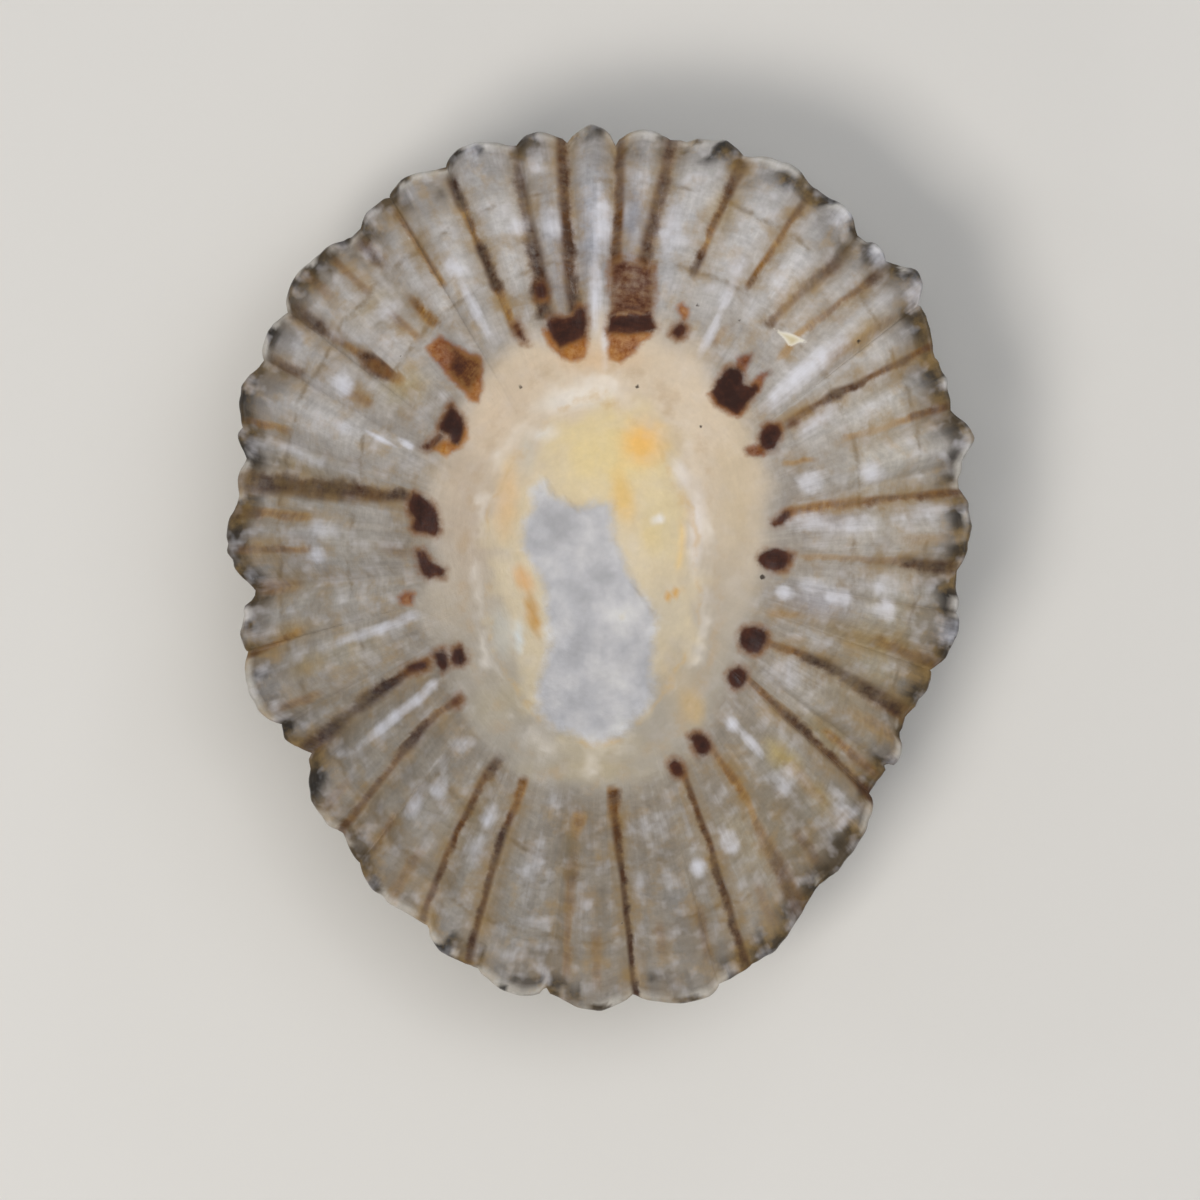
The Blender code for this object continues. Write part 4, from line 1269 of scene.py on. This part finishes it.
@dataclass(frozen=True)
class InnerLayerFinish:
    """Limpet's inner shell: calcite laid down in thin sheets by the animal's mantle.

    It is smooth and glazed like worn porcelain, with a soft broad shine, milky where it is thick,
    with painted highlights in the milky places, and with a faint grain along the ribs. Pigment of
    the outer layer shows through it as rays, and lies in dark blots where the muscle that held the animal
    ended.
    """

    name: str = "inner_calcite"
    ior: float = 1.5  # calcite along its crystals' axis, which stands on the surface here
    roughness: float = 0.34
    coat: float = 0.08
    coat_roughness: float = 0.12
    grain: Grain = Grain({
        "fine": Pattern("any", 0.28, 5.0, 0.65),
        "cloud": Pattern("any", 0.90, 4.0, 0.60),
        "patch": Pattern("any", 2.40, 3.0, 0.55),
        "tan": Pattern("any_too", 1.30, 4.0, 0.62),
        "soft": Pattern("any_too", 0.80, 2.0, 0.45),
        "streak": Pattern("rib", 0.50, 3.0, 0.60),
        "band": Pattern("ring", 0.26, 3.0, 0.65),
    })
    # a pattern, and what it multiplies the colour by where it is low and high
    mottles: tuple = (
        ("fine", 0.86, 1.13), ("cloud", 0.88, 1.11), ("streak", 0.84, 1.13), ("band", 0.90, 1.09),
        ("patch", 0.92, 1.07),
    )
    # a pattern, its values at which a cloud starts and is full, the cloud's colour and strength
    clouds: tuple = (
        ("tan", 0.50, 0.68, "#A98A55", 0.38), ("patch", 0.50, 0.34, "#7A684E", 0.30),
        ("soft", 0.50, 0.72, "#D8D6DA", 0.36),
    )
    # mm inside the oval, half-width in mm, the pattern that breaks the edge, its colour and strength
    edges: tuple = (
        (-0.40, 0.60, "patch", "#EFE8DE", 0.50), (0.15, 0.32, "tan", "#CFAE76", 0.45),
        (-1.25, 0.50, "tan", "#BBA17E", 0.40),
    )
    # patterns and how high they stand in mm
    relief_heights: tuple = (("fine", 0.016), ("soft", 0.040), ("streak", 0.030), ("band", 0.014))
    callus_swell: float = 0.030

    def made(self) -> bpy.types.Material:
        """Makes the material.

        Returns:
            The material.
        """
        material = bpy.data.materials.new(self.name)
        material.use_nodes = True
        tree = material.node_tree
        surface = tree.nodes["Principled BSDF"]
        noise = self.grain.laid(tree)
        colour = self.mottled(tree, noise)
        colour = self.growth_lines(tree, noise, colour)
        colour = self.rays(tree, noise, colour)
        colour = self.milk_and_highlight(tree, noise, colour)
        colour = self.oval_edges(tree, noise, colour)
        colour, callus = self.callus(tree, noise, colour)
        colour = self.blots(tree, noise, colour)
        colour = self.flake_and_specks(tree, noise, colour)
        tree.links.new(colour, surface.inputs["Base Color"])

        low, high = self.roughness - 0.06, self.roughness + 0.10
        rough = add(tree, "MapRange", {0: noise["fine"], 1: 0.3, 2: 0.7, 3: low, 4: high})
        tree.links.new(rough, surface.inputs["Roughness"])
        surface.inputs["IOR"].default_value = self.ior
        surface.inputs["Coat Weight"].default_value = self.coat
        surface.inputs["Coat Roughness"].default_value = self.coat_roughness
        parts = [(noise[name], height) for name, height in self.relief_heights]
        parts.append((callus, self.callus_swell))
        tree.links.new(relief(tree, parts), surface.inputs["Normal"])
        return material

    @staticmethod
    def mark(tree: bpy.types.NodeTree, name: str) -> bpy.types.NodeSocket:
        """One of the mesh's own values, by its name."""
        return add(tree, "Attribute", give="Fac", attribute_name=name)

    def mottled(self, tree: bpy.types.NodeTree, noise: Sockets) -> bpy.types.NodeSocket:
        """Mottles the washes of colour, and lays milky and tan clouds over them.

        Args:
            tree: the material's nodes.
            noise: the patterns by name.

        Returns:
            The colour.
        """
        colour = add(tree, "Attribute", give="Color", attribute_name="wash")
        light = levels(tree, noise, self.mottles)
        edge = self.mark(tree, "cream_depth")
        outer = add(tree, "MapRange", {0: edge, 1: -1.0, 2: 0.4, 3: 1.0, 4: 0.30})
        change = add(tree, "Math", {0: light, 1: 1.0}, operation="SUBTRACT")
        light = add(tree, "Math", {0: change, 1: outer, 2: 1.0}, operation="MULTIPLY_ADD")
        colour = add(tree, "VectorMath", {0: colour, "Scale": light}, operation="SCALE")
        for source, start, end, tint, most in self.clouds:
            here = add(tree, "MapRange", {0: noise[source], 1: start, 2: end, 3: 0.0, 4: most})
            broken = add(tree, "MapRange", {0: noise["streak"], 1: 0.34, 2: 0.62, 3: 0.45, 4: 1.2})
            amount = product(tree, (here, outer, broken))
            colour = add(tree, "Mix", {0: amount, 6: colour, 7: linear(tint)}, 2, data_type="RGBA")
        return colour

    def callus(
        self, tree: bpy.types.NodeTree, noise: Sockets, colour: bpy.types.NodeSocket
    ) -> tuple[bpy.types.NodeSocket, bpy.types.NodeSocket]:
        """Lays the blue-grey callus over the old apex.

        Args:
            tree: the material's nodes.
            noise: the patterns by name.
            colour: the colour under it.

        Returns:
            The colour with the callus, and how much of it lies at each place.
        """
        noises = ((noise["fine"], 0.25), (noise["cloud"], 0.9), (noise["patch"], 0.6))
        depth = wavered(tree, self.mark(tree, "callus_depth"), noises)
        laid = add(
            tree, "MapRange", {0: depth, 1: -0.28, 2: 0.42, 3: 0.0, 4: 0.94}, interpolation_type="SMOOTHSTEP"
        )
        over = add(tree, "ValToRGB", {0: noise["patch"]}, stops=CALLUS_TONES)
        light = levels(tree, noise, (("fine", 0.94, 1.06), ("cloud", 0.95, 1.05), ("patch", 0.92, 1.07)))
        over = add(tree, "VectorMath", {0: over, "Scale": light}, operation="SCALE")
        return add(tree, "Mix", {0: laid, 6: colour, 7: over}, 2, data_type="RGBA"), laid

    def oval_edges(
        self, tree: bpy.types.NodeTree, noise: Sockets, colour: bpy.types.NodeSocket
    ) -> bpy.types.NodeSocket:
        """Draws the broken pale and tan edges of the oval round the callus.

        Args:
            tree: the material's nodes.
            noise: the patterns by name.
            colour: the colour under them.

        Returns:
            The colour with the edges.
        """
        noises = ((noise["patch"], 2.2), (noise["soft"], 0.5))
        for place, width, source, tint, most in self.edges:
            depth = wavered(tree, self.mark(tree, "oval_depth"), noises)
            away = add(tree, "Math", {0: depth, 1: place}, operation="SUBTRACT")
            away = add(tree, "Math", {0: away}, operation="ABSOLUTE")
            line = add(
                tree, "MapRange", {0: away, 1: 0.0, 2: width, 3: most, 4: 0.0},
                interpolation_type="SMOOTHSTEP",
            )
            broken = add(tree, "MapRange", {0: noise[source], 1: 0.44, 2: 0.62})
            amount = product(tree, (line, broken))
            colour = add(tree, "Mix", {0: amount, 6: colour, 7: linear(tint)}, 2, data_type="RGBA")
        return colour

    def growth_lines(
        self, tree: bpy.types.NodeTree, noise: Sockets, colour: bpy.types.NodeSocket
    ) -> bpy.types.NodeSocket:
        """Draws the two broken lines left by pauses in growth.

        Args:
            tree: the material's nodes.
            noise: the patterns by name.
            colour: the colour under them.

        Returns:
            The colour with the lines.
        """
        gap = wavered(tree, self.mark(tree, "growth_gap"), ((noise["patch"], 0.9), (noise["fine"], 0.14)))
        away = add(tree, "Math", {0: gap}, operation="ABSOLUTE")
        line = add(
            tree, "MapRange", {0: away, 1: 0.0, 2: 0.20, 3: 0.55, 4: 0.0}, interpolation_type="SMOOTHSTEP"
        )
        broken = add(tree, "MapRange", {0: noise["tan"], 1: 0.42, 2: 0.62})
        amount = product(tree, (line, broken))
        return add(tree, "Mix", {0: amount, 6: colour, 7: linear("#6E5F48")}, 2, data_type="RGBA")

    def rays(
        self, tree: bpy.types.NodeTree, noise: Sockets, colour: bpy.types.NodeSocket
    ) -> bpy.types.NodeSocket:
        """Draws the rays, each in a soft tan stain.

        Args:
            tree: the material's nodes.
            noise: the patterns by name.
            colour: the colour under the rays.

        Returns:
            The colour with the rays.
        """
        ink, width = self.mark(tree, "ray_ink"), self.mark(tree, "ray_width")
        noises = ((noise["fine"], 0.09), (noise["cloud"], 0.26), (noise["patch"], 0.30))
        offset = wavered(tree, self.mark(tree, "ray_offset"), noises)
        away = add(tree, "Math", {0: offset}, operation="ABSOLUTE")

        near = add(
            tree, "MapRange", {0: away, 1: 0.08, 2: 1.15, 3: 0.66, 4: 0.0}, interpolation_type="SMOOTHSTEP"
        )
        edge = self.mark(tree, "cream_depth")
        outer = add(tree, "MapRange", {0: edge, 1: -1.2, 2: 0.2, 3: 1.0, 4: 0.0})
        seeped = add(tree, "Math", {0: ink, 1: 0.70, 2: 0.25}, operation="MULTIPLY_ADD")
        patchy = add(tree, "MapRange", {0: noise["tan"], 1: 0.35, 2: 0.62, 3: 0.40, 4: 1.3})
        stain = product(tree, (near, outer, seeped, patchy))
        colour = add(tree, "Mix", {0: stain, 6: colour, 7: linear("#927646")}, 2, data_type="RGBA")

        thick = add(tree, "MapRange", {0: noise["cloud"], 1: 0.32, 2: 0.66, 3: 1.25, 4: 0.75})
        reach = add(tree, "Math", {0: width, 1: thick}, operation="MULTIPLY")
        core = add(tree, "Math", {0: reach, 1: 0.18}, operation="MULTIPLY")
        rim = add(tree, "Math", {0: reach, 1: 0.72, 2: 0.07}, operation="MULTIPLY_ADD")
        band = add(
            tree, "MapRange", {0: away, 1: core, 2: rim, 3: 1.05, 4: 0.0}, interpolation_type="SMOOTHSTEP"
        )
        broken = add(tree, "MapRange", {0: noise["fine"], 1: 0.30, 2: 0.66, 3: 1.12, 4: 0.82})
        patchy = add(tree, "MapRange", {0: noise["tan"], 1: 0.34, 2: 0.64, 3: 1.20, 4: 0.72})
        amount = product(tree, (ink, broken, patchy, band))
        noises = ((noise["band"], -0.6), (noise["cloud"], -0.8), (noise["patch"], -0.5))
        tone = wavered(tree, self.mark(tree, "ray_tone"), noises)
        tone = add(tree, "Math", {0: away, 1: -0.6, 2: tone}, operation="MULTIPLY_ADD")
        pigment = add(tree, "ValToRGB", {0: tone}, stops=RAY_TONES)
        return add(tree, "Mix", {0: amount, 6: colour, 7: pigment}, 2, data_type="RGBA")

    def milk_and_highlight(
        self, tree: bpy.types.NodeTree, noise: Sockets, colour: bpy.types.NodeSocket
    ) -> bpy.types.NodeSocket:
        """Lays milky streaks and spots on, where the inner layer is thick enough to look pearly, and painted
        highlights with them.

        Args:
            tree: the material's nodes.
            noise: the patterns by name.
            colour: the colour under them.

        Returns:
            The colour with the milky places and their painted highlights.
        """
        milk_and_highlight = self.mark(tree, "milk_and_highlight")
        noises = ((noise["soft"], 0.9), (noise["fine"], 0.30), (noise["streak"], 0.6))
        cloudy = wavered(tree, milk_and_highlight, noises)
        laid = add(tree, "MapRange", {0: cloudy, 1: 0.05, 2: 1.05, 3: 0.0, 4: 0.92})
        inside = add(tree, "MapRange", {0: milk_and_highlight, 1: 0.0, 2: 0.45}, interpolation_type="SMOOTHSTEP")
        amount = product(tree, (laid, inside))
        # bluish white, for the milky shell and for the painted highlights
        return add(tree, "Mix", {0: amount, 6: colour, 7: linear("#DFE0E8")}, 2, data_type="RGBA")

    def blots(
        self, tree: bpy.types.NodeTree, noise: Sockets, colour: bpy.types.NodeSocket
    ) -> bpy.types.NodeSocket:
        """Draws the blots at the rays' inner ends: thin rusty pigment, then thick dark pigment.

        Args:
            tree: the material's nodes.
            noise: the patterns by name.
            colour: the colour under the blots.

        Returns:
            The colour with the blots.
        """
        fine, cloud = noise["fine"], noise["cloud"]
        rust = wavered(tree, self.mark(tree, "rust_depth"), ((fine, 0.36), (cloud, 0.36)))
        laid = add(
            tree, "MapRange", {0: rust, 1: -0.20, 2: 0.14, 3: 0.0, 4: 0.92}, interpolation_type="SMOOTHSTEP"
        )
        broken = add(tree, "MapRange", {0: fine, 1: 0.32, 2: 0.68, 3: 1.08, 4: 0.84})
        tone = wavered(tree, self.mark(tree, "rust_tone"), ((fine, -0.7), (cloud, -0.9)))
        pigment = add(tree, "ValToRGB", {0: tone}, stops=RUST_TONES)
        colour = add(
            tree, "Mix", {0: product(tree, (laid, broken)), 6: colour, 7: pigment}, 2, data_type="RGBA"
        )

        dark = wavered(tree, self.mark(tree, "dark_depth"), ((fine, 0.26), (cloud, 0.30)))
        near = add(
            tree, "MapRange", {0: dark, 1: -0.34, 2: -0.02, 3: 0.0, 4: 0.80}, interpolation_type="SMOOTHSTEP"
        )
        patchy = add(tree, "MapRange", {0: noise["tan"], 1: 0.40, 2: 0.60, 3: 0.22, 4: 0.95})
        fringe = product(tree, (near, patchy))
        colour = add(tree, "Mix", {0: fringe, 6: colour, 7: linear("#7C4E1E")}, 2, data_type="RGBA")
        laid = add(tree, "MapRange", {0: dark, 1: -0.12, 2: 0.14}, interpolation_type="SMOOTHSTEP")
        noises = ((fine, -1.0), (cloud, -1.1), (noise["band"], -0.6))
        tone = wavered(tree, self.mark(tree, "dark_tone"), noises)
        thin = add(tree, "MapRange", {0: dark, 1: 0.0, 2: 0.30, 3: -0.35, 4: 0.0})
        tone = add(tree, "Math", {0: tone, 1: thin}, operation="ADD")
        cover = add(tree, "MapRange", {0: tone, 1: 0.0, 2: 0.5, 3: 0.66, 4: 1.0})
        pigment = add(tree, "ValToRGB", {0: tone}, stops=DARK_TONES)
        return add(
            tree, "Mix", {0: product(tree, (laid, cover)), 6: colour, 7: pigment}, 2, data_type="RGBA"
        )

    def flake_and_specks(
        self, tree: bpy.types.NodeTree, noise: Sockets, colour: bpy.types.NodeSocket
    ) -> bpy.types.NodeSocket:
        """Bares the chalky layer where a flake is off, and puts in the specks of grit.

        Args:
            tree: the material's nodes.
            noise: the patterns by name.
            colour: the colour round them.

        Returns:
            The colour with both.
        """
        depth = wavered(tree, self.mark(tree, "flake_depth"), ((noise["fine"], 0.08),))
        bare = add(tree, "MapRange", {0: depth, 1: -0.05, 2: 0.03, 3: 0.0, 4: 0.85})
        chalk = add(tree, "ValToRGB", {0: depth}, stops={0.0: "#F0ECDF", 0.16: "#D8CDA8"})
        colour = add(tree, "Mix", {0: bare, 6: colour, 7: chalk}, 2, data_type="RGBA")
        depth = wavered(tree, self.mark(tree, "speck_depth"), ((noise["fine"], 0.07),))
        grit = add(tree, "MapRange", {0: depth, 1: -0.03, 2: 0.02, 3: 0.0, 4: 0.9})
        return add(tree, "Mix", {0: grit, 6: colour, 7: linear("#33281F")}, 2, data_type="RGBA")


@dataclass(frozen=True)
class OuterLayerFinish:
    """Limpet's outer shell: coarse calcite, grown in ledges and weathered by surf and sand.

    It is dull and stony, paler on the ribs, where it is rubbed, and browner in the furrows,
    with fine dark growth lines, rays of pigment, and a bleached, pitted apex.
    """

    name: str = "outer_calcite"
    ior: float = 1.6
    roughness: float = 0.68
    grain: Grain = Grain({
        "fine": Pattern("any", 0.28, 5.0, 0.70),
        "cloud": Pattern("any", 0.80, 4.0, 0.65),
        "patch": Pattern("any", 2.60, 4.0, 0.60),
        "streak": Pattern("rib", 0.42, 3.0, 0.60),
        "band": Pattern("ring", 0.31, 4.0, 0.70),
    }, ring_spread=2.4)
    mottles: tuple = (
        ("fine", 0.66, 1.30), ("streak", 0.70, 1.25), ("band", 0.70, 1.22), ("cloud", 0.78, 1.2),
        ("patch", 0.84, 1.14),
    )
    # dirt in lines, streaks and pits, then chalky scuffs, in the same order as the inner clouds
    dirt_and_scuffs: tuple = (
        ("band", 0.47, 0.38, "#33291C", 0.70), ("streak", 0.44, 0.34, "#3D2F1E", 0.55),
        ("cloud", 0.42, 0.30, "#5B5A3C", 0.45), ("patch", 0.55, 0.70, "#C8BDA6", 0.40),
        ("fine", 0.60, 0.70, "#D9D0BD", 0.35),
    )
    relief_heights: tuple = (("fine", 0.06), ("streak", 0.12), ("band", 0.14), ("cloud", 0.10))

    def made(self) -> bpy.types.Material:
        """Makes the material.

        Returns:
            The material.
        """
        material = bpy.data.materials.new(self.name)
        material.use_nodes = True
        tree = material.node_tree
        surface = tree.nodes["Principled BSDF"]
        noise = self.grain.laid(tree)
        light = levels(tree, noise, self.mottles)
        wash = add(tree, "Attribute", give="Color", attribute_name="wash")
        colour = add(tree, "VectorMath", {0: wash, "Scale": light}, operation="SCALE")
        colour = self.dirt(tree, noise, colour)
        tree.links.new(colour, surface.inputs["Base Color"])

        low, high = self.roughness - 0.1, self.roughness + 0.15
        rough = add(tree, "MapRange", {0: noise["fine"], 1: 0.3, 2: 0.7, 3: low, 4: high})
        tree.links.new(rough, surface.inputs["Roughness"])
        surface.inputs["IOR"].default_value = self.ior
        parts = [(noise[name], height) for name, height in self.relief_heights]
        tree.links.new(relief(tree, parts), surface.inputs["Normal"])
        return material

    def dirt(
        self, tree: bpy.types.NodeTree, noise: Sockets, colour: bpy.types.NodeSocket
    ) -> bpy.types.NodeSocket:
        """Darkens the growth lines and the pits between grains, and leaves chalky scuffs.

        Args:
            tree: the material's nodes.
            noise: the patterns by name.
            colour: the colour under the dirt.

        Returns:
            The colour with the dirt.
        """
        for source, start, end, tint, most in self.dirt_and_scuffs:
            amount = add(tree, "MapRange", {0: noise[source], 1: start, 2: end, 3: 0.0, 4: most})
            colour = add(tree, "Mix", {0: amount, 6: colour, 7: linear(tint)}, 2, data_type="RGBA")
        return colour


@dataclass
class LimpetShell:
    """The shell itself: one closed mesh with an inside and an outside finish."""

    mesh_plan: ShellMesh
    inside: InnerLayerFinish
    outside: OuterLayerFinish

    def build(self) -> bpy.types.Object:
        """Makes the shell and sets it in the model's place.

        Returns:
            The shell's object.
        """
        known, faces, sides = self.mesh_plan.surface()
        place = known["place"]
        marks = InsideMarks(known["angle"], np.hypot(place[:, 0], place[:, 1]))
        growth = GrowthAndWear(known, marks)
        depths = growth.depths()

        mesh = bpy.data.meshes.new("shell_surface")
        mesh.from_pydata((self.grown(known, growth, depths) * MM).tolist(), [], faces)
        mesh.polygons.foreach_set("material_index", sides)
        mesh.shade_smooth()
        ring = known["share"] * RIM_CIRCLE
        for name, values in {**marks.rays(), **marks.blots(), **depths, "ring": ring}.items():
            layer = mesh.attributes.new(name, "FLOAT", "POINT")
            layer.data.foreach_set("value", values.astype(np.float32))
        colours = ShellColours(known)
        inward = known["inward"][:, None] > 0.5
        wash = np.where(inward, colours.inside(depths), colours.outside())
        layer = mesh.attributes.new("wash", "FLOAT_COLOR", "POINT")
        rgba = np.concatenate((wash, np.ones((len(wash), 1))), axis=1)
        layer.data.foreach_set("color", rgba.astype(np.float32).ravel())
        mesh.materials.append(self.inside.made())
        mesh.materials.append(self.outside.made())

        piece = bpy.data.objects.new("shell_surface", mesh)
        bpy.context.scene.collection.objects.link(piece)
        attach(piece, "root")
        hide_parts("shell")
        triangles = sum(len(face) - 2 for face in faces)
        LOG.info("%s: %d points, %d triangles", piece.name, len(place), triangles)
        return piece

    def grown(
        self, known: dict[str, np.ndarray], growth: GrowthAndWear, depths: dict[str, np.ndarray]
    ) -> np.ndarray:
        """Adds the relief of growth and wear to the main form.

        Args:
            known: what is known of each point.
            growth: the growth and wear.
            depths: how deep inside each area of the hollow's middle every point is.

        Returns:
            Where each point ends up, in mm.
        """
        lift = growth.inside_lift(depths) - growth.outside_drop()
        push = growth.margin_push() / np.maximum(growth.marks.distance, 1.0)
        shaped = known["place"] * np.stack((1.0 + push, 1.0 + push, np.ones(len(push))), axis=1)
        shaped[:, 2] = np.maximum(shaped[:, 2] + lift, 0.0)
        return shaped


@dataclass(frozen=True)
class SoftLight:
    """One softbox, aimed at the shell: where it hangs, its side in metres and its power."""

    name: str
    place: tuple[float, float, float]
    side: float
    watts: float
    colour: str
    shines: bool  # a softbox behind a polariser brings out the colours and leaves no shine


@dataclass
class Studio:
    """The floor, the light and the camera."""

    floor_side: float = 4.0
    floor_colour: str = "#DEDCD7"
    floor_roughness: float = 0.9
    air_colour: str = "#E6EAF0"
    air_strength: float = 0.25
    lens: float = 200.0
    sensor: float = 36.0
    view_width: float = 54.3 * MM  # the photograph's width at the height of the margin
    view_height: float = 9.5 * MM
    view_y: float = -2.17 * MM
    view_span: tuple = (0.01, 20.0)  # nearest and farthest that the camera sees
    lights: tuple = (
        SoftLight("key", (-0.16, -0.15, 0.40), 0.16, 0.98, "#FFFAF4", False),
        SoftLight("overhead", (0.05, 0.06, 0.45), 0.24, 0.56, "#FBFAFA", False),
        SoftLight("fill", (0.20, 0.09, 0.38), 0.20, 0.18, "#F4F7FF", True),
        SoftLight("low_near", (-0.14, -0.40, 0.20), 0.06, 0.10, "#FFFFFF", True),
        SoftLight("low_far", (0.16, 0.38, 0.20), 0.06, 0.08, "#EEF3FF", True),
        SoftLight("low_left", (-0.40, 0.06, 0.20), 0.06, 0.08, "#F4F7FF", True),
    )

    def floor(self) -> None:
        """Lays a plain pale sheet of matt paper under the shell.

        Returns:
            Nothing. The sheet is linked to the scene.
        """
        half = self.floor_side / 2
        mesh = bpy.data.meshes.new("floor")
        corners = [(-half, -half, 0.0), (half, -half, 0.0), (half, half, 0.0), (-half, half, 0.0)]
        mesh.from_pydata(corners, [], [(0, 1, 2, 3)])
        material = bpy.data.materials.new("matt_paper")
        material.use_nodes = True
        surface = material.node_tree.nodes["Principled BSDF"]
        surface.inputs["Base Color"].default_value = linear(self.floor_colour)
        surface.inputs["Roughness"].default_value = self.floor_roughness
        mesh.materials.append(material)
        sheet = bpy.data.objects.new("floor", mesh)
        bpy.context.scene.collection.objects.link(sheet)
        LOG.info("%s: %.1f m square", sheet.name, self.floor_side)

    def light(self) -> None:
        """Lights the shell softly from all round, with lower softboxes for the shine.

        Returns:
            Nothing. The lamps are linked to the scene.
        """
        world = bpy.data.worlds.new("air")
        world.use_nodes = True
        air = world.node_tree.nodes["Background"]
        air.inputs["Color"].default_value = linear(self.air_colour)
        air.inputs["Strength"].default_value = self.air_strength
        bpy.context.scene.world = world
        for box in self.lights:
            lamp = bpy.data.lights.new(box.name, "AREA")
            lamp.size = box.side
            lamp.energy = box.watts
            lamp.color = linear(box.colour)[:3]
            held = bpy.data.objects.new(box.name, lamp)
            held.location = box.place
            held.visible_glossy = box.shines
            held.rotation_euler = (-held.location).to_track_quat("-Z", "Y").to_euler()
            bpy.context.scene.collection.objects.link(held)
            LOG.info("softbox %s: %.2f W", box.name, box.watts)

    def camera(self) -> None:
        """Looks straight down, with the photograph's frame and the broad end up.

        Returns:
            Nothing. The camera becomes the scene's own.
        """
        data = bpy.data.cameras.new("camera")
        data.lens = self.lens
        data.sensor_width = self.sensor
        data.clip_start, data.clip_end = self.view_span
        eye = bpy.data.objects.new("camera", data)
        distance = self.view_width * self.lens / self.sensor
        eye.location = (0.0, self.view_y, self.view_height + distance)
        bpy.context.scene.collection.objects.link(eye)
        bpy.context.scene.camera = eye
        LOG.info("camera: %.0f mm lens, %.3f m above the floor", self.lens, eye.location.z)


def main() -> None:
    """Builds the shell, then its floor, its light and the camera.

    Returns:
        Nothing.
    """
    LimpetShell(ShellMesh(ShellForm()), InnerLayerFinish(), OuterLayerFinish()).build()
    studio = Studio()
    studio.floor()
    studio.light()
    studio.camera()
    bpy.context.scene.view_settings.view_transform = "Standard"


if __name__ == "__main__":
    logging.basicConfig(level=logging.INFO, format="%(message)s")
    main()
